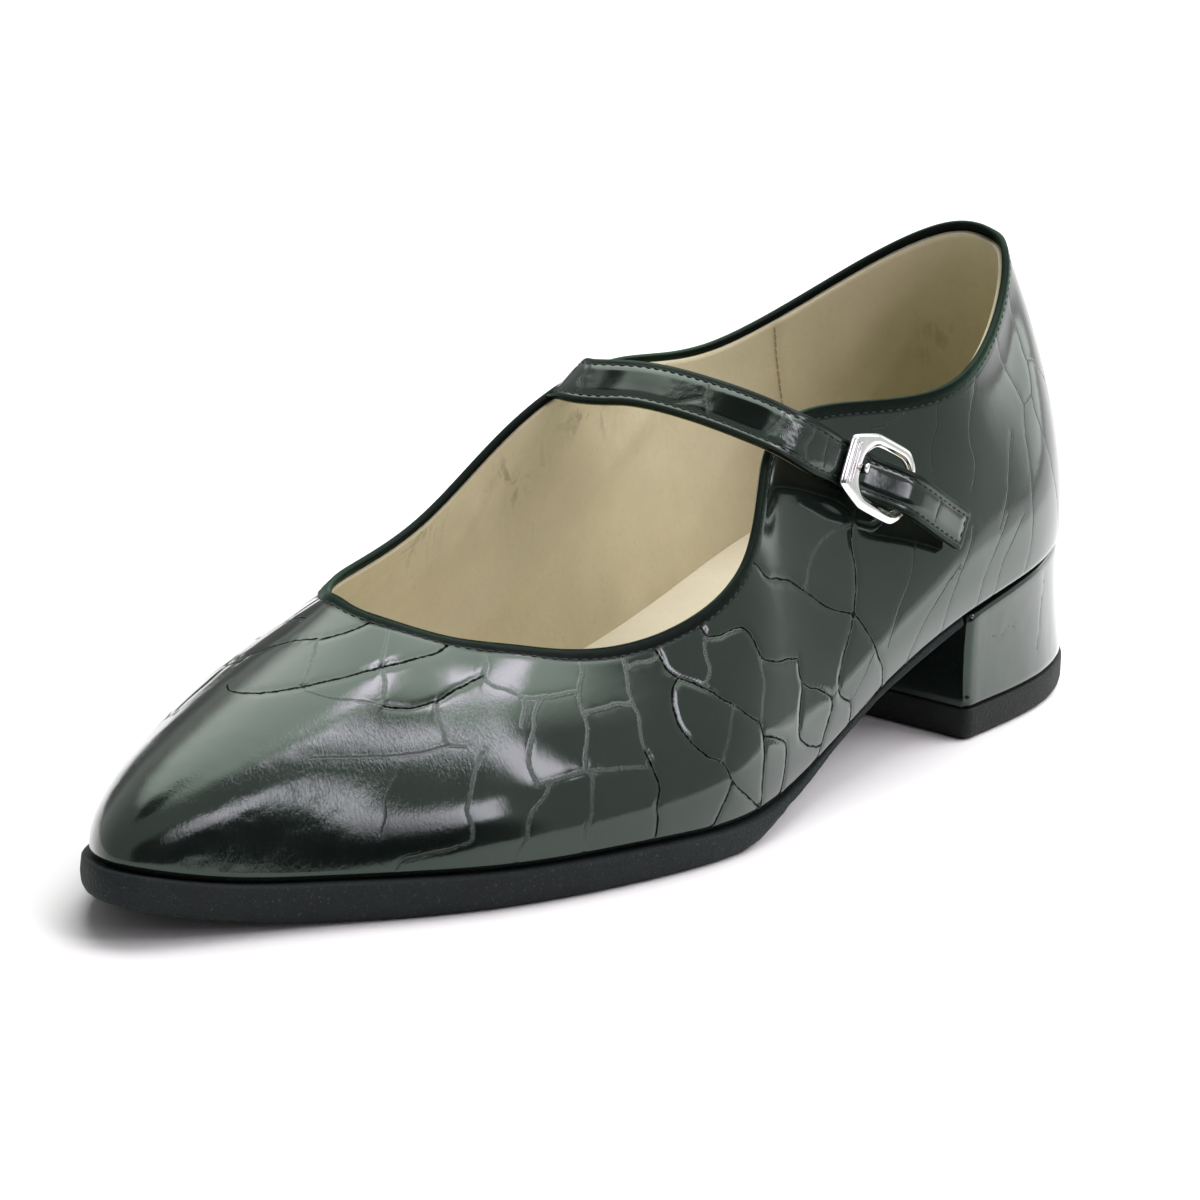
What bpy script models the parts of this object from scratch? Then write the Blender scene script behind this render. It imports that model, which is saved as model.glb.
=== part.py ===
"""Mary jane flat, left shoe.

A low block-heeled shoe built on one last: hollow upper with its lasting
margin turned under, insole, rubber outsole that ends at the heel breast,
covered heel block, top piece, and an instep strap that runs from the inner
quarter through a silver frame buckle on the outer quarter.

Working frame, in millimetres until the last step: x = 0 at the back of the
heel seat and grows towards the toe, y grows to the wearer's left (outer side),
z = 0 on the floor.  The shoe's origin empty moves this frame so that the
object's own origin is the middle of its footprint.
"""
import bpy
import bmesh
import numpy as np
from mathutils import Vector

# ---------------------------------------------------------------- sizes (mm)
WALL = 1.8            # outer leather, interlining and lining together
MARGIN = 7.0          # lasting margin turned under the insole
GAP = 0.3             # clearance between pieces that meet
HEEL_BREAST = 57.5    # front face of the heel block at its top
BREAST_RAKE = 1.2     # the breast leans forward towards the floor
TOP_PIECE = 6.0       # thickness of the heel's rubber top piece
EDGE_R = 2.0          # rounding of the sole's lower edge
INSOLE_T = 2.5
STRAP_W = 9.6         # over the instep; the tail is narrower
STRAP_T = 1.9
FRAME_T = 1.4         # buckle frame thickness
PIVOT_T = 1.1         # its pivot bar is thinner
PIVOT_X = 7.9         # pivot bar's place along the buckle
TAB_T = 0.8
PRONG_T, PRONG_W = 0.7, 1.9
ORIGIN_X = 124.45     # middle of the footprint in the working frame
ORIGIN_Y = -0.75

# Profiles of the last, one row for each section around the shoe, from the
# middle of the heel back along the outer side, round the toe and back along
# the inner side.  sole = where the wall leaves the sole's plane, top = where
# the section ends at the topline, low/high = how far the wall swells outward
# and how far it runs upright at its lower and upper end.
SECTION_COLUMNS = ("name", "sole_x", "sole_y", "top_x", "top_y", "top_z",
                   "low_out", "low_up", "high_out", "high_down")
SECTIONS = (
    ("back",         0.0,   0.0,  14.5,   0.5, 86.0,  1.0, 24.0,  8.5, 17.5),
    ("heel_out_1",   8.5,  15.5,  19.5,   7.5, 84.0,  1.0, 21.0,  6.0, 17.5),
    ("heel_out_2",  28.5,  26.0,  31.5,  15.0, 75.5,  2.0, 16.5,  2.0, 16.0),
    ("seat_out",    57.0,  29.5,  55.5,  21.5, 66.0,  3.5, 14.0,  2.0, 14.0),
    ("waist_out",   91.0,  33.0,  80.0,  16.0, 65.2,  5.0, 16.0,  2.0, 14.0),
    ("horn_out",   120.5,  38.0, 102.5,  15.8, 61.8,  5.0, 16.0,  2.0, 12.0),
    ("joint_out",  143.0,  41.0, 124.0,  26.5, 45.0,  4.0, 14.0,  4.0, 10.0),
    ("ball_out",   167.0,  38.0, 153.0,  24.5, 36.5,  3.0, 14.0,  8.0, 10.0),
    ("toe_out_1",  194.5,  29.5, 171.5,  15.5, 38.0,  3.0, 15.5, 14.0,  9.5),
    ("toe_out_2",  220.0,  15.5, 180.0,   7.5, 39.5,  3.0, 16.5, 20.5, 10.0),
    ("toe_out_3",  241.0,   4.5, 187.5,   0.5, 42.5,  3.0, 17.0, 26.5, 11.0),
    ("toe",        249.5,  -5.5, 189.5,  -5.5, 43.8,  3.5, 16.5, 30.0, 12.0),
    ("toe_in_3",   240.5, -18.0, 188.5, -10.5, 44.5,  4.0, 15.5, 26.5, 12.5),
    ("toe_in_2",   224.5, -27.5, 185.5, -15.5, 43.8,  4.0, 15.5, 20.0, 12.5),
    ("toe_in_1",   202.5, -37.5, 177.0, -23.5, 41.5,  3.5, 15.0, 14.0, 11.0),
    ("ball_in",    179.5, -42.5, 163.5, -31.5, 40.5,  3.0, 14.0,  8.0, 10.5),
    ("joint_in",   155.0, -38.0, 142.0, -33.0, 45.5,  4.0, 14.0,  4.0, 10.0),
    ("horn_in",    124.5, -28.0, 120.5, -30.5, 59.5,  6.0, 16.0,  3.0, 12.0),
    ("waist_in",    91.0, -22.5,  96.5, -27.0, 68.3,  7.0, 18.0,  2.0, 14.0),
    ("seat_in",     57.5, -24.5,  60.5, -31.0, 65.5,  5.0, 16.5,  2.5, 14.0),
    ("heel_in_2",   28.5, -25.0,  30.0, -20.5, 78.0,  3.5, 17.5,  4.5, 15.5),
    ("heel_in_1",    7.5, -16.0,  17.5,  -7.5, 86.5,  2.5, 22.5,  8.5, 17.0),
)
# Height of the upper's underside along the last: heel seat, waist, tread, toe.
BED = (("x", "z"),
       (0.0, 31.0), (30.0, 27.4), (60.0, 23.4), (85.0, 17.6), (110.0, 10.3),
       (122.0, 7.3), (136.0, 5.6), (160.0, 6.0), (190.0, 6.5), (215.0, 7.5),
       (235.0, 9.2), (250.0, 12.4))
# Height of the outsole's underside: thin at the waist, thick at the tread.
TREAD = (("x", "z"),
         (57.0, 21.7), (85.0, 15.3), (105.0, 9.5), (118.0, 5.7), (125.0, 4.3),
         (130.0, 2.6), (135.0, 0.8), (141.0, 0.0), (208.0, 0.0), (218.0, 0.4),
         (228.0, 1.3), (240.0, 3.4), (252.0, 6.6))
# How far the outsole's edge stands out from the upper along its length.
LEDGE = (("x", "out"),
         (57.0, -0.6), (92.0, -0.6), (108.0, -0.1), (120.0, 0.7), (130.0, 1.2),
         (140.0, 1.4), (252.0, 1.4))
# Centre line of the strap and its width direction (towards the toe edge),
# from its root inside the inner quarter to the end of its tail.
STRAP_COLUMNS = ("x", "y", "z", "wx", "wy", "wz")
STRAP = (
    (114.1, -23.3, 59.1,  0.86,  0.05, -0.50),
    (112.7, -22.6, 65.1,  0.80,  0.10, -0.58),
    (110.2, -19.4, 67.7,  0.76,  0.15, -0.62),
    (108.0, -13.6, 68.3,  0.75,  0.17, -0.63),
    (106.8,  -6.5, 68.4,  0.75,  0.18, -0.63),
    (105.8,   0.2, 67.8,  0.75,  0.18, -0.64),
    (104.8,   7.0, 66.8,  0.74,  0.18, -0.65),
    (103.8,  13.0, 65.6,  0.72,  0.20, -0.67),
    (102.0,  18.0, 63.9,  0.70,  0.22, -0.69),
    ( 97.2,  20.7, 60.9,  0.62,  0.16, -0.76),
)
# Buckle: middle of its frame, tail direction and width direction.
BUCKLE_AT = (83.95, 25.62, 54.31)
TAIL_DIR = (-0.8516, 0.2135, -0.4787)
WIDTH_DIR = (0.5056, 0.0941, -0.8576)
# The strap in the buckle's own directions: it dips under the front bar, comes
# up through the frame and rides over the pivot bar to the end of the tail.
STRAP_LIFT = (("along", "across", "lift", "half_width"),
              (-9.5, 0.40, -2.00, 4.30), (-6.0, 0.45, -2.10, 4.20),
              (-3.0, 0.55, -2.00, 4.10), (0.0, 0.65, -0.95, 4.00),
              (3.0, 0.80, 0.90, 3.95), (5.5, 0.95, 2.35, 3.90),
              (7.9, 1.15, 3.00, 3.85), (10.5, 1.30, 2.85, 3.85),
              (15.0, 1.45, 2.10, 3.85), (20.0, 1.50, 1.20, 3.85),
              (24.2, 1.50, 0.50, 3.85))


# ------------------------------------------------------------------- numbers
def table(rows):
    """Rows of numbers under a heading row, as columns."""
    return np.array(rows[1:], float)


def natural(x, y):
    """Natural cubic spline through (x, y), held level past its ends."""
    n = len(x)
    h = np.diff(x)
    a = np.zeros((n, n))
    b = np.zeros(n)
    a[0, 0] = a[-1, -1] = 1
    for i in range(1, n - 1):
        a[i, i - 1:i + 2] = h[i - 1], 2 * (h[i - 1] + h[i]), h[i]
        b[i] = 6 * ((y[i + 1] - y[i]) / h[i] - (y[i] - y[i - 1]) / h[i - 1])
    m = np.linalg.solve(a, b)

    def at(q):
        q = np.clip(np.asarray(q, float), x[0], x[-1])
        i = np.clip(np.searchsorted(x, q) - 1, 0, n - 2)
        s, r = q - x[i], x[i + 1] - q
        return (m[i] * r ** 3 + m[i + 1] * s ** 3) / (6 * h[i]) \
            + (y[i] / h[i] - m[i] * h[i] / 6) * r \
            + (y[i + 1] / h[i] - m[i + 1] * h[i] / 6) * s
    return at


def closed(values):
    """Periodic cubic spline through evenly spaced rows, as a function of row."""
    n = len(values)
    a = 4 * np.eye(n) + np.roll(np.eye(n), 1, 0) + np.roll(np.eye(n), -1, 0)
    b = 6 * (np.roll(values, -1, 0) - 2 * values + np.roll(values, 1, 0))
    m = np.linalg.solve(a, b)

    def at(q):
        q = np.asarray(q, float) % n
        i = np.floor(q).astype(int) % n
        j = (i + 1) % n
        s = (q - np.floor(q))[:, None]
        r = 1 - s
        return (m[i] * r ** 3 + m[j] * s ** 3) / 6 \
            + (values[i] - m[i] / 6) * r + (values[j] - m[j] / 6) * s
    return at


def polyline(x, y):
    return lambda q: np.interp(q, x, y)


def unit(v):
    v = np.asarray(v, float)
    return v / np.linalg.norm(v, axis=-1, keepdims=True)


bed = natural(*table(BED).T)
tread = polyline(*table(TREAD).T)
ledge = polyline(*table(LEDGE).T)
last = closed(np.array([row[1:] for row in SECTIONS], float))
N_SECTIONS = len(SECTIONS)
UP = np.array([0.0, 0.0, 1.0])


def outward(curve, u):
    """Plan normal of a closed curve, pointing out of the shoe."""
    e = 0.02
    d = curve(u + e) - curve(u - e)
    n = np.stack([-d[:, 1], d[:, 0]], 1)
    return unit(n)


def sole_line(u):
    return last(u)[:, 0:2]


def top_line(u):
    return last(u)[:, 2:4]


def feather(u, offset=0.0, lift_z=0.0):
    """Point of the upper's lower edge, moved out by offset in plan."""
    xy = sole_line(u) + outward(sole_line, u) * offset
    return np.column_stack([xy, bed(xy[:, 0]) + lift_z])


def skin(u, v):
    """Outer surface of the upper's wall: v = 0 at the sole, 1 at the topline."""
    u = np.asarray(u, float)
    v = np.asarray(v, float)[:, None]
    row = last(u)
    foot = feather(u)
    top = row[:, 2:5]
    n0, n1 = outward(sole_line, u), outward(top_line, u)
    p1 = foot + np.column_stack([n0 * row[:, 5:6], row[:, 6]])
    p2 = top + np.column_stack([n1 * row[:, 7:8], -row[:, 8]])
    return (1 - v) ** 3 * foot + 3 * v * (1 - v) ** 2 * p1 \
        + 3 * v * v * (1 - v) * p2 + v ** 3 * top


def skin_normal(u, v, e=0.01):
    u = np.asarray(u, float)
    v = np.asarray(v, float)
    du = skin(u + e, v) - skin(u - e, v)
    dv = skin(u, np.minimum(v + e, 1)) - skin(u, np.maximum(v - e, 0))
    return unit(np.cross(dv, du))


# ------------------------------------------------------------------ building
for ob in list(bpy.data.objects):
    bpy.data.objects.remove(ob, do_unlink=True)

parts = bpy.data.collections.new("mary_jane_flat")
cutters = bpy.data.collections.new("cutters")
for coll in (parts, cutters):
    bpy.context.scene.collection.children.link(coll)

origin = bpy.data.objects.new("shoe_origin", None)
origin.location = (-ORIGIN_X / 1000, -ORIGIN_Y / 1000, 0.0)
parts.objects.link(origin)


def material(name, colour, rough, metal=0.0, coat=0.0):
    m = bpy.data.materials.new(name)
    m.use_nodes = True
    p = m.node_tree.nodes["Principled BSDF"]
    p.inputs["Base Color"].default_value = (*colour, 1)
    p.inputs["Roughness"].default_value = rough
    p.inputs["Metallic"].default_value = metal
    p.inputs["Coat Weight"].default_value = coat
    m.diffuse_color = (*colour, 1)
    return m


def add(name, verts, faces, mat, smooth=40.0):
    """Make a piece from points in mm; its faces are turned to point out."""
    me = bpy.data.meshes.new(name)
    me.from_pydata([Vector(p) / 1000 for p in verts], [], faces)
    me.validate()
    bm = bmesh.new()
    bm.from_mesh(me)
    bmesh.ops.remove_doubles(bm, verts=bm.verts, dist=1e-6)
    bmesh.ops.recalc_face_normals(bm, faces=bm.faces)
    bm.to_mesh(me)
    bm.free()
    me.shade_smooth()
    me.set_sharp_from_angle(angle=np.radians(smooth))
    me.materials.append(mat)
    ob = bpy.data.objects.new(name, me)
    parts.objects.link(ob)
    ob.parent = origin
    return ob


def ring_faces(n, k, first=0, wrap=True):
    """Quads between k successive rings of n points each."""
    out = []
    for r in range(k - 1):
        for i in range(n if wrap else n - 1):
            j = (i + 1) % n
            a, b = first + r * n, first + (r + 1) * n
            out.append((a + i, a + j, b + j, b + i))
    return out


def cap_faces(n, start, seam):
    """Strips across a ring: seam 0 pairs i with -i, seam 1 pairs i with -1-i."""
    out = []
    lo, hi = (1, n - 1) if seam == 0 else (0, n - 1)
    if seam == 0:
        out.append((start, start + 1, start + n - 1))
    while hi - lo > 2:
        out.append((start + lo, start + lo + 1, start + hi - 1, start + hi))
        lo, hi = lo + 1, hi - 1
    if hi - lo == 2:
        out.append((start + lo, start + lo + 1, start + hi))
    return out


def slab(name, rings, mat, seam, smooth=40.0):
    """A closed plate from rings of points, bottom to top, capped in strips."""
    n = len(rings[0])
    verts = np.vstack(rings)
    faces = ring_faces(n, len(rings))
    faces += cap_faces(n, 0, seam)
    faces += cap_faces(n, n * (len(rings) - 1), seam)
    return add(name, verts, faces, mat, smooth)


def tube(name, rings, mat, smooth=40.0):
    """A loft through rings of equal count, each end closed by a fan."""
    n = len(rings[0])
    verts = np.vstack(list(rings) + [rings[0].mean(0)[None], rings[-1].mean(0)[None]])
    faces = ring_faces(n, len(rings))
    last_ring, c0, c1 = n * (len(rings) - 1), len(verts) - 2, len(verts) - 1
    for i in range(n):
        j = (i + 1) % n
        faces.append((i, j, c0))
        faces.append((last_ring + i, last_ring + j, c1))
    return add(name, verts, faces, mat, smooth)


patent = material("patent_leather", (0.012, 0.018, 0.015), 0.12, coat=1.0)
patent_strap = material("patent_strap", (0.012, 0.018, 0.015), 0.14, coat=1.0)
patent_heel = material("patent_heel", (0.010, 0.015, 0.013), 0.10, coat=1.0)
patent_tab = material("patent_tab", (0.012, 0.018, 0.015), 0.20, coat=0.6)
sock = material("insole_sock", (0.62, 0.54, 0.38), 0.60)
rubber = material("sole_rubber", (0.020, 0.022, 0.021), 0.75)
top_rubber = material("top_piece_rubber", (0.016, 0.017, 0.017), 0.60)
steel = material("buckle_silver", (0.82, 0.83, 0.82), 0.15, metal=1.0)
steel_prong = material("prong_silver", (0.80, 0.81, 0.80), 0.18, metal=1.0)

# -- upper: one open sheet, margin + wall, thickened inwards
RING = 88
V_WALL = (0.03, 0.10, 0.20, 0.32, 0.45, 0.58, 0.71, 0.83, 0.92, 1.0)
u_ring = np.arange(RING) * N_SECTIONS / RING
sheet = [feather(u_ring, -MARGIN), feather(u_ring, -MARGIN / 2),
         feather(u_ring, -0.6)]
sheet += [skin(u_ring, np.full(RING, v)) for v in V_WALL]
upper = add("upper", np.vstack(sheet), ring_faces(RING, len(sheet)), patent, 60)
bm = bmesh.new()
bm.from_mesh(upper.data)
side = max(bm.faces, key=lambda f: f.calc_center_median().y)
if side.normal.y < 0:
    bmesh.ops.reverse_faces(bm, faces=bm.faces)
bm.to_mesh(upper.data)
bm.free()
wall = upper.modifiers.new("wall", "SOLIDIFY")
wall.thickness = WALL / 1000
wall.offset = -1
wall.use_even_offset = True
wall.use_rim = True

# -- insole: plate on the margin with a filled middle down to the outsole
plate_z = WALL + GAP
slab("insole", [
    feather(u_ring, -MARGIN - 1.2, 0.0),
    feather(u_ring, -MARGIN - 1.2, plate_z),
    feather(u_ring, -3.3, plate_z),
    feather(u_ring, -3.1, plate_z + INSOLE_T - 0.5),
    feather(u_ring, -3.7, plate_z + INSOLE_T)], sock, 0)


def crossing(x, side):
    """Section number where the sole line passes x on one side of the shoe."""
    u = np.linspace(0, 11, 400) if side > 0 else np.linspace(11, 22, 400)
    xs = sole_line(u)[:, 0]
    order = np.argsort(xs)
    return float(np.interp(x, xs[order], u[order]))


def arc_corner(loop, x_face, r=1.5):
    """Square a loop off at the plane x = x_face with small round corners."""
    y0, y1 = loop[0, 1], loop[-1, 1]
    s0, s1 = np.sign(y0), np.sign(y1)
    toward = np.sign(loop[len(loop) // 2, 0] - x_face)
    pts0 = [(x_face, y0 - s0 * r), (x_face + toward * r * 0.3, y0 - s0 * r * 0.3),
            (x_face + toward * r, y0)]
    pts1 = [(x_face + toward * r, y1), (x_face + toward * r * 0.3, y1 - s1 * r * 0.3),
            (x_face, y1 - s1 * r)]
    keep = loop[1:-1]
    return np.vstack([pts0, keep, pts1])


# -- outsole: from the heel breast to the toe, rounded lower edge
u_fore = np.linspace(crossing(HEEL_BREAST + GAP, 1), crossing(HEEL_BREAST + GAP, -1), 76)
trim = 2.5


def sole_loop(inset, x_face):
    xy = sole_line(u_fore)
    xy = xy + outward(sole_line, u_fore) * (ledge(xy[:, 0]) - inset)[:, None]
    xy = xy[(xy[:, 0] > x_face + trim)]
    xy = np.vstack([[x_face, xy[0, 1]], xy, [x_face, xy[-1, 1]]])
    return arc_corner(xy, x_face)


def resample(loop, n):
    """The loop's points spread again, evenly along each half of its length."""
    d = np.r_[0, np.cumsum(np.linalg.norm(np.diff(loop, axis=0), axis=1))]
    q = np.linspace(0, d[-1], n)
    return np.column_stack([np.interp(q, d, loop[:, k]) for k in range(loop.shape[1])])


def lower(xy, rise):
    return np.column_stack([xy, tread(xy[:, 0]) + rise])


def soft_edge(xy):
    """Edge radius that the sole's thickness allows at each point."""
    thick = bed(xy[:, 0]) - GAP - tread(xy[:, 0])
    return np.minimum(EDGE_R, thick * 0.45)


face_x = HEEL_BREAST + GAP + 0.2
loop_n = 80
wide, mid, under = [resample(sole_loop(d, face_x), loop_n) for d in (0.0, 0.5, 2.0)]
r_edge = soft_edge(wide)
top_z = bed(wide[:, 0]) - GAP
slab("outsole", [
    np.column_stack([under, tread(under[:, 0])]),
    np.column_stack([mid, tread(mid[:, 0]) + r_edge * 0.30]),
    np.column_stack([wide, tread(wide[:, 0]) + r_edge]),
    np.column_stack([wide, top_z - 0.5]),
    np.column_stack([mid, bed(mid[:, 0]) - GAP])], rubber, 1)

# -- heel block and its top piece
u_heel = np.linspace(crossing(HEEL_BREAST, -1) - N_SECTIONS, crossing(HEEL_BREAST, 1), 41)


def heel_loop(offset, x_face, corner=0.0):
    """Outline of the heel, wider by corner where it meets the breast."""
    xy = sole_line(u_heel)
    grow = offset + corner * np.clip((xy[:, 0] - 25) / 30, 0, 1)
    xy = xy + outward(sole_line, u_heel) * grow[:, None]
    xy = xy[(xy[:, 0] < x_face - trim)]
    xy = np.vstack([[x_face, xy[0, 1]], xy, [x_face, xy[-1, 1]]])
    return resample(arc_corner(xy, x_face), 48)


def level(xy, z):
    return np.column_stack([xy, np.full(len(xy), z)])


heel_base = TOP_PIECE + GAP
rows = []
for t, off, corner in ((0.0, 1.5, 0.0), (0.33, 0.8, 0.3), (0.67, 0.2, 0.6), (1.0, -0.4, 0.9)):
    ring = heel_loop(off, HEEL_BREAST + BREAST_RAKE * (1 - t), corner)
    z1 = bed(ring[:, 0]) - GAP
    rows.append(np.column_stack([ring, heel_base + (z1 - heel_base) * t]))
slab("heel_block", rows, patent_heel, 1)

face = HEEL_BREAST + BREAST_RAKE
slab("heel_top_piece", [
    level(heel_loop(0.7, face - 0.8), 0.0),
    level(heel_loop(1.5, face), 0.6),
    level(heel_loop(1.8, face + 0.1), 1.6),
    level(heel_loop(1.8, face + 0.1), TOP_PIECE - 0.3),
    level(heel_loop(1.6, face), TOP_PIECE)], top_rubber, 1)

# -- strap
B = np.array(BUCKLE_AT)
T_DIR = unit(TAIL_DIR)
W_DIR = unit(np.array(WIDTH_DIR) - T_DIR * np.dot(WIDTH_DIR, T_DIR))
N_DIR = np.cross(W_DIR, T_DIR)


def on_buckle(along, across, off):
    return B + T_DIR * along + W_DIR * across + N_DIR * off


tail = table(STRAP_LIFT)
nodes = [(*row, STRAP_W / 2) for row in STRAP]
nodes += [(*on_buckle(a, b, c), *W_DIR, h) for a, b, c, h in tail]
nodes = np.array(nodes, float)
run = np.r_[0, np.cumsum(np.linalg.norm(np.diff(nodes[:, :3], axis=0), axis=1))]
path = [natural(run, nodes[:, k]) for k in range(7)]
stations = np.r_[np.linspace(0, run[-1] - 1.4, 50), run[-1] - 0.4, run[-1]]
centre = np.column_stack([path[k](stations) for k in range(3)])
width = np.column_stack([path[k](stations) for k in range(3, 6)])
half = path[6](stations)
tangent = unit(np.gradient(centre, axis=0))
width = unit(width - tangent * (width * tangent).sum(1)[:, None])
normal = unit(np.cross(width, tangent))
half[-2] -= 0.35
half[-1] -= 1.3
thick = np.interp(stations, (0, 7, 9), (STRAP_T * 0.6, STRAP_T * 0.6, STRAP_T)) / 2
section = ((-1, 0.45), (-0.94, 1), (0.94, 1), (1, 0.45), (1, -0.45), (0.94, -1), (-0.94, -1), (-1, -0.45))
rings = []
for c, w, n, h, k in zip(centre, width, normal, half, thick):
    rings.append(np.array([c + w * (h * a) + n * (k * b) for a, b in section]))
strap = tube("strap", rings, patent_strap, 35)

# -- buckle frame: a flat eight-sided ring with a softer window
OUTLINE = (("along", "across"),
           (-8.6, 0.0), (-8.6, 4.0), (-8.2, 4.9), (-3.4, 6.85), (-2.2, 7.15), (5.4, 7.15),
           (6.6, 6.7), (8.3, 5.0), (8.7, 3.9), (8.5, 3.3), (8.5, 0.0))
WINDOW = (("along", "across"),
          (-4.5, 0.0), (-4.5, 1.7), (-3.9, 3.2), (-2.7, 4.5), (-1.4, 5.0), (4.4, 5.1),
          (5.5, 4.8), (6.5, 4.1), (6.9, 3.6), (7.3, 3.1), (7.3, 0.0))


def both_sides(rows):
    half_line = table(rows)
    other = half_line[-2:0:-1] * (1, -1)
    return np.vstack([half_line, other])


outer, inner = both_sides(OUTLINE), both_sides(WINDOW)
rings = []
for o, i in zip(outer, inner):
    t = PIVOT_T if abs(o[1]) < 3.5 and o[0] > 0 else FRAME_T
    across = [(o, -0.22), (o * 0.8 + i * 0.2, -0.5), (o * 0.2 + i * 0.8, -0.5), (i, -0.22),
              (i, 0.22), (o * 0.2 + i * 0.8, 0.5), (o * 0.8 + i * 0.2, 0.5), (o, 0.22)]
    rings.append(np.array([on_buckle(p[0], p[1], t * h) for p, h in across]))
n_f = len(rings)
verts = np.vstack(rings)
faces = []
for r in range(n_f):
    for i in range(8):
        j, s = (i + 1) % 8, (r + 1) % n_f
        faces.append((r * 8 + i, r * 8 + j, s * 8 + j, s * 8 + i))
add("buckle_frame", verts, faces, steel, 30)


def ribbon(points, width_dirs, half_w, half_t, ends=0.0):
    """Rings of a flat band with chamfered edges along a line of points."""
    points = np.asarray(points, float)
    along = unit(np.gradient(points, axis=0))
    out = []
    for k, (p, t, w) in enumerate(zip(points, along, width_dirs)):
        w = unit(w - t * np.dot(w, t))
        n = np.cross(w, t)
        h = half_w - (ends if k in (0, len(points) - 1) else 0.0)
        out.append(np.array([p + w * (h * a) + n * (half_t * b) for a, b in
                             ((-1, 0.3), (-0.75, 1), (0.75, 1), (1, 0.3), (1, -0.3), (0.75, -1), (-0.75, -1), (-1, -0.3))]))
    return out


# -- prong: an eye round the pivot bar, then under the strap and up through it
bar_r = PIVOT_T * 0.6
MID = 0.15
eye = bar_r + GAP + PRONG_T / 2
prong_line = [(PIVOT_X + eye * np.cos(np.radians(a)), eye * np.sin(np.radians(a)))
              for a in range(-80, 131, 30)]
prong_line += [(5.9, 0.35), (4.6, -0.75), (2.7, -1.60), (0.4, -2.80), (-1.5, -3.65), (-2.7, -3.70),
               (-3.4, -3.10), (-3.60, -1.8), (-3.60, 0.50), (-3.85, 1.25), (-4.5, 1.65), (-5.1, 1.70)]
prong = [on_buckle(a, MID, c) for a, c in prong_line]
tube("buckle_prong", ribbon(prong, [W_DIR] * len(prong), PRONG_W / 2, PRONG_T / 2, 0.3), steel_prong, 35)


def cut(target, name, ob):
    ob.name = name
    ob.hide_render = True
    ob.display_type = "WIRE"
    m = target.modifiers.new(name, "BOOLEAN")
    m.operation = "DIFFERENCE"
    m.solver = "EXACT"
    m.object = ob


def block(lo, hi):
    """A cutter box given in the buckle's own directions."""
    bm = bmesh.new()
    bmesh.ops.create_cube(bm, size=1.0)
    lo, hi = np.array(lo, float), np.array(hi, float)
    for v in bm.verts:
        q = lo + (np.array(v.co) + 0.5) * (hi - lo)
        v.co = Vector(on_buckle(*q)) / 1000
    bmesh.ops.recalc_face_normals(bm, faces=bm.faces)
    me = bpy.data.meshes.new("cutter")
    bm.to_mesh(me)
    bm.free()
    ob = bpy.data.objects.new("cutter", me)
    cutters.objects.link(ob)
    ob.parent = origin
    return ob


cut(strap, "strap_hole", block((-4.4, MID - 1.3, -4.5), (-2.75, MID + 1.3, 0.5)))

# -- tab: lies on the outer quarter and curls round the pivot bar
TAB_ROUTE = (("section", "height", "off"),
             (4.78, 0.955, 1.00), (4.68, 0.925, 0.95), (4.52, 0.865, 0.90), (4.30, 0.795, 0.85),
             (4.07, 0.725, 0.90), (3.92, 0.685, 1.30))
TAB_W = 7.0
TAB_END_W = 4.4
curl = bar_r + GAP + TAB_T / 2
loop_pts = [on_buckle(PIVOT_X + curl * np.cos(np.radians(a)), MID, curl * np.sin(np.radians(a)))
            for a in range(-100, 131, 23)]
route = table(TAB_ROUTE)
on_wall = skin(route[:, 0], route[:, 1]) + skin_normal(route[:, 0], route[:, 1]) * route[:, 2:3]
tab_nodes = np.vstack([on_wall, loop_pts])
run_t = np.r_[0, np.cumsum(np.linalg.norm(np.diff(tab_nodes, axis=0), axis=1))]
tab_path = [natural(run_t, tab_nodes[:, k]) for k in range(3)]
bend = run_t[len(on_wall) - 1]
st = np.r_[np.linspace(0, bend, 12)[:-1], np.linspace(bend, run_t[-1], 18)]
c_tab = np.column_stack([f(st) for f in tab_path])
hug = np.array([skin_normal([np.interp(s, run_t[:len(route)], route[:, 0])],
                            [np.interp(s, run_t[:len(route)], route[:, 1])])[0] for s in st])
side = np.cross(np.gradient(c_tab, axis=0), hug)
side *= np.sign(side @ W_DIR)[:, None]
mix = np.clip((st - bend * 0.8) / (bend * 0.2 + 2), 0, 1)[:, None]
side = unit(unit(side) * (1 - mix) + W_DIR * mix)
rings = ribbon(c_tab, side, 1.0, TAB_T / 2)
for k, (s, c) in enumerate(zip(st, c_tab)):
    w = np.interp(s, (0, bend * 0.75, bend + 2.5), (TAB_W, TAB_W, TAB_END_W)) / 2
    d = rings[k] - c
    wd = unit(rings[k][3] + rings[k][4] - rings[k][0] - rings[k][7])
    rings[k] = c + d + wd * (d @ wd)[:, None] * (w - 1)
tab = tube("buckle_tab", rings, patent_tab, 35)
cut(tab, "tab_slot", block((4.9, MID - 1.3, -4.0), (12.0, MID + 1.3, 3.0)))
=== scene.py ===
"""Looks of the mary jane flat, left shoe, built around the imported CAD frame.

Working frame, in millimetres until the last step: x = 0 at the back of the
heel seat and grows towards the toe, y grows to the wearer's left (outer side),
z = 0 on the floor.  `metres` moves it to the frame's own origin.
"""
import math

import bpy
import numpy as np
from mathutils import Matrix, Vector, kdtree


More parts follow.
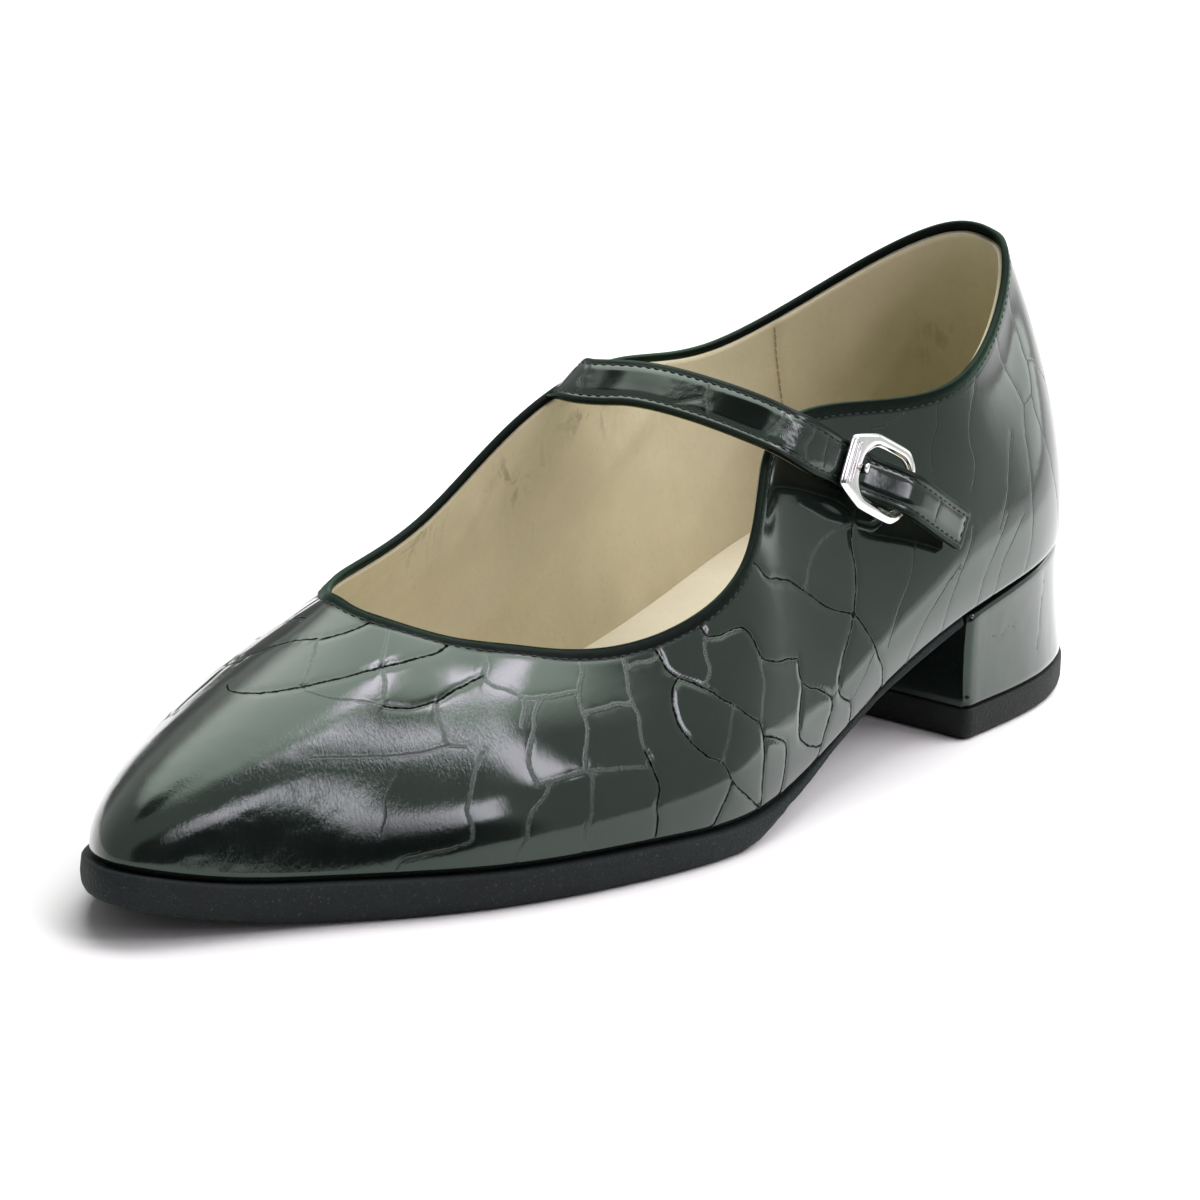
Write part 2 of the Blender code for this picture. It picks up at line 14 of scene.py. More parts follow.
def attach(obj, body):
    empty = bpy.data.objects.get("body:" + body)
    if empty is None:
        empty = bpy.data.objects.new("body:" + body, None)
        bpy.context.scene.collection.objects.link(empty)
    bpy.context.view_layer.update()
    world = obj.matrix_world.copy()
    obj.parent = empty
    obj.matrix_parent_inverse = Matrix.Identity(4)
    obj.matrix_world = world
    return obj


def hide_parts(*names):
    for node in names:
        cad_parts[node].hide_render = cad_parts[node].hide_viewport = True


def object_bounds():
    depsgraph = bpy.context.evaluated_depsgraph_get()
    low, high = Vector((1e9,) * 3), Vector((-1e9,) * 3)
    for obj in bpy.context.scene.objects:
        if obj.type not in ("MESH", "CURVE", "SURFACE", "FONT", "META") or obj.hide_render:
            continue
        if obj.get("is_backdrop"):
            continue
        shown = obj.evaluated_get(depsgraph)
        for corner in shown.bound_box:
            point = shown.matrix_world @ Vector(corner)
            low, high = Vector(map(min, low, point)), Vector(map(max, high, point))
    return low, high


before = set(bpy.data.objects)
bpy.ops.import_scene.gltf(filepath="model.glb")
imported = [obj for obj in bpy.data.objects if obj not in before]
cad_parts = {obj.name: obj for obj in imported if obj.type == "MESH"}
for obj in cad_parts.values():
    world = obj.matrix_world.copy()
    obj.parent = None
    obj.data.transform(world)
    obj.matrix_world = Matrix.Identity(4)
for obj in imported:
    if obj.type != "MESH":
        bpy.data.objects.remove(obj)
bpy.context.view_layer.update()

# ---------------------------------------------------------------- sizes (mm)
ORIGIN = np.array([124.45, -0.75, 0.0])
WALL = 1.8
GAP = 0.3
HEEL_BREAST = 57.5
BREAST_RAKE = 1.2
TOP_PIECE = 6.0
EDGE_R = 2.0
STRAP_W = 9.6
STRAP_T = 1.9
FRAME_T = 1.4
PIVOT_T = 1.1
PIVOT_X = 7.9
TAB_T = 0.8
PRONG_T, PRONG_W = 0.7, 1.9

SECTION_COLUMNS = ("name", "sole_x", "sole_y", "top_x", "top_y", "top_z",
                   "low_out", "low_up", "high_out", "high_down")
SECTIONS = (
    ("back",         0.0,   0.0,  14.5,   0.5, 86.0,  1.0, 24.0,  8.5, 17.5),
    ("heel_out_1",   8.5,  15.5,  19.5,   7.5, 84.0,  1.0, 21.0,  6.0, 17.5),
    ("heel_out_2",  28.5,  26.0,  31.5,  15.0, 75.5,  2.0, 16.5,  2.0, 16.0),
    ("seat_out",    57.0,  29.5,  55.5,  21.5, 66.0,  3.5, 14.0,  2.0, 14.0),
    ("waist_out",   91.0,  33.0,  80.0,  16.0, 65.2,  5.0, 16.0,  2.0, 14.0),
    ("horn_out",   120.5,  38.0, 102.5,  15.8, 61.8,  5.0, 16.0,  2.0, 12.0),
    ("joint_out",  143.0,  41.0, 124.0,  26.5, 45.0,  4.0, 14.0,  4.0, 10.0),
    ("ball_out",   167.0,  38.0, 153.0,  24.5, 36.5,  2.0, 12.5,  8.0, 10.0),
    ("toe_out_1",  194.5,  29.5, 171.5,  15.5, 38.0,  0.8, 11.5, 14.0,  9.5),
    ("toe_out_2",  220.0,  15.5, 180.0,   7.5, 39.5, -1.2, 10.0, 20.5, 10.5),
    ("toe_out_3",  241.0,   4.5, 187.5,   0.5, 42.5, -1.0, 10.5, 24.0, 11.0),
    ("toe",        249.5,  -5.5, 189.5,  -5.5, 43.8,  1.2, 12.0, 30.0, 12.0),
    ("toe_in_3",   240.5, -18.0, 188.5, -10.5, 44.5,  2.0, 12.0, 26.5, 12.5),
    ("toe_in_2",   224.5, -27.5, 185.5, -15.5, 43.8,  2.5, 13.0, 20.0, 12.5),
    ("toe_in_1",   202.5, -37.5, 177.0, -23.5, 41.5,  3.5, 15.0, 14.0, 11.0),
    ("ball_in",    179.5, -42.5, 163.5, -31.5, 40.5,  3.0, 14.0,  8.0, 10.5),
    ("joint_in",   155.0, -38.0, 142.0, -33.0, 45.5,  4.0, 14.0,  4.0, 10.0),
    ("horn_in",    124.5, -28.0, 120.5, -30.5, 59.5,  6.0, 16.0,  3.0, 12.0),
    ("waist_in",    91.0, -22.5,  96.5, -27.0, 68.3,  7.0, 18.0,  2.0, 14.0),
    ("seat_in",     57.5, -24.5,  60.5, -31.0, 65.5,  5.0, 16.5,  2.5, 14.0),
    ("heel_in_2",   28.5, -25.0,  30.0, -20.5, 78.0,  3.5, 17.5,  4.5, 15.5),
    ("heel_in_1",    7.5, -16.0,  17.5,  -7.5, 86.5,  2.5, 22.5,  8.5, 17.0),
)
BED = (("x", "z"),
       (0.0, 31.0), (30.0, 27.4), (60.0, 23.4), (85.0, 17.6), (110.0, 10.3),
       (122.0, 7.3), (136.0, 5.6), (160.0, 6.0), (190.0, 6.5), (215.0, 7.5),
       (235.0, 9.2), (250.0, 12.4))
TREAD = (("x", "z"),
         (57.0, 21.7), (85.0, 15.3), (105.0, 9.5), (118.0, 5.7), (125.0, 4.3),
         (130.0, 2.6), (135.0, 0.8), (141.0, 0.0), (208.0, 0.0), (218.0, 0.4),
         (228.0, 1.3), (240.0, 3.4), (252.0, 6.6))
LEDGE = (("x", "out"),
         (57.0, -0.6), (92.0, -0.6), (108.0, -0.1), (120.0, 0.7), (130.0, 1.2),
         (140.0, 1.4), (252.0, 1.4))
STRAP_COLUMNS = ("x", "y", "z", "wx", "wy", "wz")
STRAP = (
    (108.8, -27.2, 60.6,  0.89, -0.06, -0.45),
    (108.7, -27.5, 65.5,  0.88, -0.04, -0.47),
    (109.5, -25.5, 67.1,  0.84,  0.02, -0.56),
    (110.5, -21.8, 67.7,  0.77,  0.10, -0.63),
    (108.0, -13.6, 68.3,  0.75,  0.17, -0.63),
    (106.8,  -6.5, 68.4,  0.75,  0.18, -0.63),
    (105.8,   0.2, 67.8,  0.75,  0.18, -0.64),
    (104.8,   7.0, 66.8,  0.74,  0.18, -0.65),
    (103.8,  13.0, 65.6,  0.72,  0.20, -0.67),
    (102.0,  18.0, 63.9,  0.70,  0.22, -0.69),
    ( 97.2,  20.7, 60.9,  0.62,  0.16, -0.76),
)
BUCKLE_AT = (83.95, 25.62, 54.31)
TAIL_DIR = (-0.8516, 0.2135, -0.4787)
WIDTH_DIR = (0.5056, 0.0941, -0.8576)
STRAP_LIFT = (("along", "across", "lift", "half_width"),
              (-9.5, 0.40, -2.00, 4.30), (-6.0, 0.45, -2.10, 4.20),
              (-3.0, 0.55, -2.00, 4.10), (0.0, 0.65, -0.95, 4.00),
              (3.0, 0.80, 0.90, 3.95), (5.5, 0.95, 2.35, 3.90),
              (7.9, 1.15, 3.00, 3.85), (10.5, 1.30, 2.85, 3.85),
              (15.0, 1.45, 2.10, 3.85), (20.0, 1.50, 1.20, 3.85),
              (24.2, 1.50, 0.50, 3.85))
OUTLINE = (("along", "across"),
           (-8.6, 0.0), (-8.6, 4.0), (-8.2, 4.9), (-3.4, 6.85), (-2.2, 7.15), (5.4, 7.15),
           (6.6, 6.7), (8.3, 5.0), (8.7, 3.9), (8.5, 3.3), (8.5, 0.0))
WINDOW = (("along", "across"),
          (-4.5, 0.0), (-4.5, 1.7), (-3.9, 3.2), (-2.7, 4.5), (-1.4, 5.0), (4.4, 5.1),
          (5.5, 4.8), (6.5, 4.1), (6.9, 3.6), (7.3, 3.1), (7.3, 0.0))
TAB_ROUTE = (("section", "height", "off"),
             (4.78, 0.955, 1.00), (4.68, 0.925, 0.95), (4.52, 0.865, 0.90), (4.30, 0.795, 0.85),
             (4.07, 0.725, 0.90), (3.92, 0.685, 1.30))
TAB_W, TAB_END_W = 7.0, 4.4

# Lines of the embossed leather, charted on the last: each row is the
# kind of line and its points as (section, height).  "crack" is a thin dark
# line, "fold" a light crinkled border between two plates, "faint" a shallow one.
LINES_COLUMNS = ("kind", "points")
LINES = (
    # outer side of the forepart
    ("crack", (6.84, 1.00), (6.82, .90), (6.79, .83), (6.72, .77), (6.59, .71), (6.46, .63), (6.36, .57), (6.21, .50), (6.02, .41), (5.87, .36), (5.79, .30), (5.74, .24), (5.71, .14), (5.66, .06), (5.62, .0)),
    ("crack", (6.50, 1.00), (6.48, .94), (6.46, .88), (6.36, .85), (6.18, .81), (6.08, .75), (6.00, .68), (5.94, .61), (5.85, .56), (5.69, .51), (5.51, .46), (5.33, .43), (5.13, .39)),
    ("crack", (5.93, .99), (5.80, .88), (5.74, .81), (5.59, .73), (5.44, .68), (5.28, .63), (5.13, .59), (5.00, .55), (4.77, .48), (4.62, .43), (4.41, .38), (4.31, .36)),
    ("crack", (4.17, .60), (4.24, .53), (4.22, .48), (4.26, .42), (4.31, .36), (4.38, .32), (4.49, .27), (4.56, .22), (4.56, .18), (4.46, .14), (4.38, .11), (4.35, .06), (4.33, .0)),
    ("crack", (4.31, .36), (4.20, .29), (4.13, .24), (4.08, .18), (4.01, .12), (3.96, .03)),
    ("faint", (4.13, .20), (4.26, .15), (4.38, .11)),
    ("crack", (5.13, .39), (5.13, .34), (5.03, .30), (4.85, .26), (4.72, .22), (4.64, .19), (4.63, .16), (4.69, .12), (4.74, .06), (4.76, .0)),
    ("faint", (4.56, .20), (4.64, .19)),
    ("crack", (5.09, .31), (5.14, .25), (5.15, .19), (5.10, .16), (4.90, .10), (4.76, .07)),
    ("crack", (5.79, .30), (5.59, .26), (5.46, .23), (5.36, .20), (5.34, .14), (5.32, .06), (5.31, .0)),
    ("fold", (5.94, .59), (5.90, .53), (5.84, .48), (5.87, .42), (5.87, .36)),
    ("fold", (6.48, .86), (6.49, .80), (6.46, .73), (6.50, .68)),
    ("crack", (6.72, .77), (6.77, .73), (6.78, .67), (6.75, .57), (6.69, .50), (6.56, .41), (6.46, .35), (6.31, .31), (6.23, .26), (6.15, .20), (6.00, .14), (5.79, .07), (5.64, .02)),
    ("crack", (6.15, .20), (6.18, .14), (6.23, .08), (6.28, .0)),
    ("fold", (6.25, .51), (6.26, .44), (6.27, .38), (6.31, .31)),
    ("fold", (6.83, .90), (6.92, .90), (7.00, .91), (7.08, .90)),
    ("fold", (7.10, 1.00), (7.08, .90), (7.10, .80), (7.08, .72), (7.04, .65), (7.04, .57), (7.00, .48)),
    ("crack", (7.00, .48), (6.95, .41), (6.90, .35), (6.85, .28), (6.86, .20), (6.83, .12), (6.82, .0)),
    ("fold", (7.10, .72), (7.20, .74), (7.33, .72), (7.48, .71)),
    ("fold", (7.41, 1.00), (7.45, .88), (7.51, .81), (7.49, .72), (7.44, .65), (7.45, .57), (7.46, .49), (7.45, .44), (7.38, .40), (7.38, .30), (7.36, .22), (7.40, .14), (7.38, .0)),
    ("fold", (7.00, .40), (7.18, .42), (7.45, .435), (7.64, .41), (7.79, .40)),
    ("fold", (7.69, .40), (7.72, .33), (7.79, .28), (7.81, .22), (7.79, .14), (7.85, .07), (7.84, .0)),
    ("fold", (7.51, .81), (7.65, .80), (7.85, .78), (8.01, .78)),
    ("fold", (7.84, .78), (7.90, .72), (7.885, .65), (7.90, .57), (7.885, .48), (7.79, .40)),
    # vamp and toe
    ("fold", (8.01, .78), (8.14, .81), (8.37, .83), (8.49, .87), (8.46, .91), (8.49, .95), (8.56, 1.0)),
    ("fold", (8.01, .78), (7.98, .73), (8.00, .66)),
    ("crack", (8.49, .87), (8.69, .84), (8.88, .81), (9.07, .77), (9.29, .74), (9.46, .73), (9.68, .73)),
    ("faint", (9.68, .73), (9.94, .735), (10.2, .73), (10.5, .745)),
    ("fold", (9.07, .77), (8.91, .71), (8.75, .66), (8.62, .60), (8.45, .59)),
    ("fold", (8.27, .56), (8.29, .50), (8.285, .44), (8.25, .38), (8.25, .31), (8.19, .26), (8.16, .21), (8.14, .17)),
    ("faint", (8.14, .17), (8.27, .13), (8.49, .11), (8.56, .08), (8.59, .0)),
    ("faint", (8.94, .48), (8.91, .40), (8.78, .32), (8.75, .22)),
    ("crack", (9.02, 1.0), (9.12, .96), (9.29, .93), (9.52, .905), (9.78, .87), (9.97, .85), (10.22, .81), (10.48, .77), (10.70, .74), (10.96, .71), (11.35, .69), (11.6, .70)),
    ("fold", (10.06, 1.0), (10.03, .91), (9.97, .85), (9.84, .81), (9.74, .75)),
    ("crack", (10.33, 1.0), (10.58, .95), (10.90, .91), (11.12, .895), (11.44, .875), (11.76, .835), (12.0, .81), (12.3, .77), (12.6, .74)),
    ("fold", (10.60, .77), (10.67, .81), (10.83, .86), (11.03, .895)),
    ("faint", (8.62, .60), (8.95, .57), (9.4, .555), (9.9, .53)),
    # outer quarter and heel
    ("faint", (2.66, .97), (2.73, .91), (2.82, .85), (2.885, .78), (2.90, .70), (2.87, .65), (2.91, .60), (2.98, .54)),
    ("faint", (3.18, .98), (3.20, .92), (3.20, .86), (3.28, .81), (3.33, .75), (3.32, .67)),
    ("faint", (3.48, .98), (3.54, .92), (3.66, .90), (3.85, .90)),
    ("faint", (2.31, .60), (2.41, .55), (2.51, .47), (2.56, .41), (2.64, .36), (2.72, .31)),
    ("faint", (2.36, .29), (2.56, .22), (2.72, .15), (2.77, .0)),
    ("faint", (2.59, .34), (2.72, .27), (2.86, .20), (2.95, .13), (2.96, .0)),
    ("faint", (3.02, .40), (3.10, .31), (3.26, .20), (3.33, .12), (3.34, .0)),
    ("faint", (3.20, .28), (3.46, .20), (3.64, .12), (3.73, .0)),
    ("faint", (3.60, .47), (3.69, .35), (3.85, .28), (3.97, .18)),
    ("faint", (4.17, .60), (4.10, .64), (3.98, .66)),
    ("fold", (4.17, .60), (4.45, .60), (4.68, .585), (4.78, .56), (4.86, .53)),
)
LINE_DEPTH = {"crack": 0.20, "fold": 0.042, "faint": 0.04}
LINE_DARK = {"crack": 1.0, "fold": 0.10, "faint": 0.35}
LINE_CRINKLE = {"crack": 0.45, "fold": 1.0, "faint": 0.30}

# Plates that the chart doesn't cover, by region of the last: their length
# around the shoe, their height, and how far they lean.
REGIONS = (("name", "from_section", "to_section", "around", "tall", "lean"),
           ("heel_outer", 0.0, 2.45, 11.0, 24.0, 0.35),
           ("vamp_inner", 12.15, 16.6, 10.0, 12.5, -0.10),
           ("waist_inner", 16.6, 19.4, 11.0, 17.0, -0.45),
           ("heel_inner", 19.4, 22.0, 11.0, 24.0, -0.35))


# ------------------------------------------------------------------- numbers
def table(rows):
    return np.array(rows[1:], float)


def natural(x, y):
    n = len(x)
    h = np.diff(x)
    a = np.zeros((n, n))
    b = np.zeros(n)
    a[0, 0] = a[-1, -1] = 1
    for i in range(1, n - 1):
        a[i, i - 1:i + 2] = h[i - 1], 2 * (h[i - 1] + h[i]), h[i]
        b[i] = 6 * ((y[i + 1] - y[i]) / h[i] - (y[i] - y[i - 1]) / h[i - 1])
    m = np.linalg.solve(a, b)

    def at(q):
        q = np.clip(np.asarray(q, float), x[0], x[-1])
        i = np.clip(np.searchsorted(x, q) - 1, 0, n - 2)
        s, r = q - x[i], x[i + 1] - q
        return (m[i] * r ** 3 + m[i + 1] * s ** 3) / (6 * h[i]) \
            + (y[i] / h[i] - m[i] * h[i] / 6) * r \
            + (y[i + 1] / h[i] - m[i + 1] * h[i] / 6) * s
    return at


def closed(values):
    n = len(values)
    a = 4 * np.eye(n) + np.roll(np.eye(n), 1, 0) + np.roll(np.eye(n), -1, 0)
    b = 6 * (np.roll(values, -1, 0) - 2 * values + np.roll(values, 1, 0))
    m = np.linalg.solve(a, b)

    def at(q):
        q = np.asarray(q, float) % n
        i = np.floor(q).astype(int) % n
        j = (i + 1) % n
        s = (q - np.floor(q))[:, None]
        r = 1 - s
        return (m[i] * r ** 3 + m[j] * s ** 3) / 6 \
            + (values[i] - m[i] / 6) * r + (values[j] - m[j] / 6) * s
    return at


def polyline(x, y):
    return lambda q: np.interp(q, x, y)


def eased(points, cuts=3):
    """An open line with its corners cut, its ends kept."""
    q = np.asarray(points, float)
    for _ in range(cuts):
        inner = np.stack([q[:-1] * 0.75 + q[1:] * 0.25, q[:-1] * 0.25 + q[1:] * 0.75], 1).reshape(-1, q.shape[1])
        q = np.vstack([q[:1], inner[1:-1], q[-1:]])
    return q


def unit(v):
    v = np.asarray(v, float)
    return v / np.maximum(np.linalg.norm(v, axis=-1, keepdims=True), 1e-12)


def smooth(t):
    t = np.clip(t, 0, 1)
    return t * t * (3 - 2 * t)


bed = natural(*table(BED).T)
tread = polyline(*table(TREAD).T)
ledge = polyline(*table(LEDGE).T)
last = closed(np.array([row[1:] for row in SECTIONS], float))
NS = len(SECTIONS)


def outward(curve, u):
    e = 0.02
    d = curve(u + e) - curve(u - e)
    return unit(np.stack([-d[:, 1], d[:, 0]], 1))


def sole_line(u):
    return last(u)[:, 0:2]


def top_line(u):
    return last(u)[:, 2:4]


def feather(u, offset=0.0, lift_z=0.0):
    xy = sole_line(u) + outward(sole_line, u) * offset
    return np.column_stack([xy, bed(xy[:, 0]) + lift_z])


def skin(u, v):
    u = np.asarray(u, float)
    v = np.asarray(v, float)[:, None]
    row = last(u)
    foot = feather(u)
    top = row[:, 2:5]
    n0, n1 = outward(sole_line, u), outward(top_line, u)
    p1 = foot + np.column_stack([n0 * row[:, 5:6], row[:, 6]])
    p2 = top + np.column_stack([n1 * row[:, 7:8], -row[:, 8]])
    return (1 - v) ** 3 * foot + 3 * v * (1 - v) ** 2 * p1 \
        + 3 * v * v * (1 - v) * p2 + v ** 3 * top


def skin_normal(u, v, e=0.01):
    u = np.asarray(u, float)
    v = np.asarray(v, float)
    du = skin(u + e, v) - skin(u - e, v)
    dv = skin(u, np.minimum(v + e, 1)) - skin(u, np.maximum(v - e, 0))
    return unit(np.cross(dv, du))


def lattice(i, seed):
    """A repeatable number from 0 to 1 for each whole-number point."""
    h = (i[..., 0] * 73856093) ^ (i[..., 1] * 19349663) ^ (i[..., 2] * 83492791) ^ (seed * 2654435)
    h = (h ^ (h >> 13)) * 1274126177
    return ((h ^ (h >> 16)) & 0xFFFFFF) / float(0xFFFFFF)


def soft_noise(p, size, seed=1):
    """Smooth noise from -1 to 1 whose lumps are about size mm."""
    q = np.asarray(p, float) / size + 1000.0
    i = np.floor(q).astype(np.int64)
    f = q - i
    f = f * f * f * (f * (f * 6 - 15) + 10)
    out = 0.0
    for dx in (0, 1):
        for dy in (0, 1):
            for dz in (0, 1):
                w = (f[..., 0] if dx else 1 - f[..., 0]) * (f[..., 1] if dy else 1 - f[..., 1]) \
                    * (f[..., 2] if dz else 1 - f[..., 2])
                out = out + w * lattice(i + np.array([dx, dy, dz]), seed)
    return out * 2 - 1


# ------------------------------------------------------------------- meshes
def metres(points):
    return (np.asarray(points, float) - ORIGIN) / 1000.0


def quads(n, k, wrap_n=True, wrap_k=False, first=0):
    """Quads of a grid of k rows with n points each."""
    i = np.arange(n if wrap_n else n - 1)
    r = np.arange(k if wrap_k else k - 1)
    rr, ii = np.meshgrid(r, i, indexing="ij")
    jj, ss = (ii + 1) % n, (rr + 1) % k
    return (np.stack([rr * n + ii, rr * n + jj, ss * n + jj, ss * n + ii], -1).reshape(-1, 4) + first).tolist()


def volume(v, faces):
    """Signed volume of a closed mesh, by fans."""
    a, b, c = [], [], []
    for f in faces:
        for k in range(1, len(f) - 1):
            a.append(f[0]); b.append(f[k]); c.append(f[k + 1])
    return float((v[a] * np.cross(v[b], v[c])).sum() / 6)


def edge_faces(faces):
    """Each edge's faces, with the way each one runs along it."""
    held = {}
    for i, f in enumerate(faces):
        for m, b in enumerate(f):
            a = f[m - 1]
            held.setdefault((min(a, b), max(a, b)), []).append((i, a < b))
    return held


def sewn(pts, faces):
    """A row that ends along one long edge is joined to it, and every face is
    turned to point out.  Also gives the seams where that was needed."""
    faces = [list(f) for f in faces]
    held = edge_faces(faces)
    near = {}
    for (a, b), at in held.items():
        if len(at) == 1:
            near.setdefault(a, []).append(b)
            near.setdefault(b, []).append(a)
    seams, seen = set(), set()
    for start in sorted(near):
        if start in seen:
            continue
        loop, here = [start], near[start][0]
        while here != start:
            loop.append(here)
            here = [q for q in near[here] if q != loop[-2]][0]
        seen.update(loop)
        far = max(range(len(loop)), key=lambda m: np.linalg.norm(pts[loop[m]] - pts[loop[m - 1]]))
        chain = loop[far:] + loop[:far]
        seams.update((min(q), max(q)) for q in zip(chain, chain[1:]))
        a, b = chain[0], chain[-1]
        f = faces[held[(min(a, b), max(a, b))][0][0]]
        m = f.index(a)
        if f[(m + 1) % len(f)] == b:
            f[m + 1:m + 1] = chain[1:-1]
        else:
            f[m:m] = chain[1:-1][::-1]
    held = edge_faces(faces)
    turned = [None] * len(faces)
    v = pts - pts.mean(0)
    for first in range(len(faces)):
        if turned[first] is not None:
            continue
        turned[first] = False
        group, at = [first], 0
        while at < len(group):
            i = group[at]
            at += 1
            for m, b in enumerate(faces[i]):
                a = faces[i][m - 1]
                edge = (min(a, b), max(a, b))
                if len(held[edge]) != 2:
                    continue
                (i0, w0), (i1, w1) = held[edge]
                if w0 == w1:
                    seams.add(edge)
                j = i1 if i0 == i else i0
                if turned[j] is None:
                    turned[j] = turned[i] != (w0 == w1)
                    group.append(j)
        if volume(v, [faces[i][::-1] if turned[i] else faces[i] for i in group]) < 0:
            for i in group:
                turned[i] = not turned[i]
    return [tuple(f[::-1] if turn else f) for f, turn in zip(faces, turned)], seams


def piece(name, points, faces, mats, body="root", stands_for=(), attrs=None,
          sharp=None, face_mat=None):
    """One closed piece from points in mm, its faces turned to point out."""
    pts = metres(points)
    faces, seams = sewn(pts, faces)
    me = bpy.data.meshes.new(name)
    me.from_pydata(pts.tolist(), [], faces)
    me.update()
    for key, values in (attrs or {}).items():
        values = np.asarray(values, np.float32)
        if values.ndim == 2:
            me.attributes.new(key, "FLOAT_VECTOR", "POINT").data.foreach_set("vector", values.ravel())
        else:
            me.attributes.new(key, "FLOAT", "POINT").data.foreach_set("value", values)
    me.shade_smooth()
    if sharp is not None:
        me.set_sharp_from_angle(angle=math.radians(sharp))
    if seams:
        for e in me.edges:
            if (min(e.vertices), max(e.vertices)) in seams:
                e.use_edge_sharp = True
    for m in (mats if isinstance(mats, (list, tuple)) else [mats]):
        me.materials.append(m)
    if face_mat is not None:
        me.polygons.foreach_set("material_index", np.asarray(face_mat, np.int32))
    ob = bpy.data.objects.new(name, me)
    bpy.context.scene.collection.objects.link(ob)
    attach(ob, body)
    for node in stands_for:
        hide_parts(node)
    return ob


def fill(points, start, n, seam, k, shape=None):
    """Fills a ring of n points with rows across it, k steps each.
    seam 0 pairs point i with -i, seam 1 pairs i with -1-i."""
    pts = list(points)
    faces, rows = [], []
    pairs = [(i, (n - i) % n) for i in range(n // 2 + 1)] if seam == 0 else \
        [(i, n - 1 - i) for i in range(n // 2)]
    for i, j in pairs:
        if i == j:
            rows.append([start + i] * (k + 1))
            continue
        a, b = np.array(pts[start + i]), np.array(pts[start + j])
        row = [start + i]
        for s in range(1, k):
            p = a + (b - a) * s / k
            if shape is not None:
                p = shape(p, s / k)
            row.append(len(pts))
            pts.append(p)
        rows.append(row + [start + j])
    for a, b in zip(rows[:-1], rows[1:]):
        for s in range(k):
            f = [a[s], a[s + 1], b[s + 1], b[s]]
            g = [q for m, q in enumerate(f) if q != f[m - 1]]
            if len(set(g)) >= 3:
                faces.append(tuple(g))
    return pts, faces


def stitches(paths, pitch, length, radius, sides=6):
    """Short rounded threads along lines; each line is (points, normals)."""
    verts, faces = [], []
    for points, normals in paths:
        points, normals = np.asarray(points), np.asarray(normals)
        run = np.r_[0, np.cumsum(np.linalg.norm(np.diff(points, axis=0), axis=1))]
        count = max(1, int(run[-1] / pitch))
        for q in (np.arange(count) + 0.5) * run[-1] / count:
            sample = q + np.array([-0.5, -0.30, 0.0, 0.30, 0.5]) * length
            line = np.column_stack([np.interp(sample, run, points[:, k]) for k in range(3)])
            nn = unit(np.array([np.interp(q, run, normals[:, k]) for k in range(3)]))
            line = line + nn * (np.array([-0.9, 0.05, 0.35, 0.05, -0.9]) * radius)[:, None]
            t = unit(line[-1] - line[0])
            w = unit(np.cross(nn, t))
            base = len(verts)
            for c, r in zip(line, (0.55, 1.0, 1.05, 1.0, 0.55)):
                for a in range(sides):
                    g = 2 * math.pi * a / sides
                    verts.append(c + (w * math.cos(g) + nn * math.sin(g)) * radius * r)
            for r in range(4):
                for a in range(sides):
                    b = (a + 1) % sides
                    faces.append((base + r * sides + a, base + r * sides + b,
                                  base + (r + 1) * sides + b, base + (r + 1) * sides + a))
            faces.append(tuple(base + a for a in reversed(range(sides))))
            faces.append(tuple(base + 4 * sides + a for a in range(sides)))
    return np.array(verts), faces


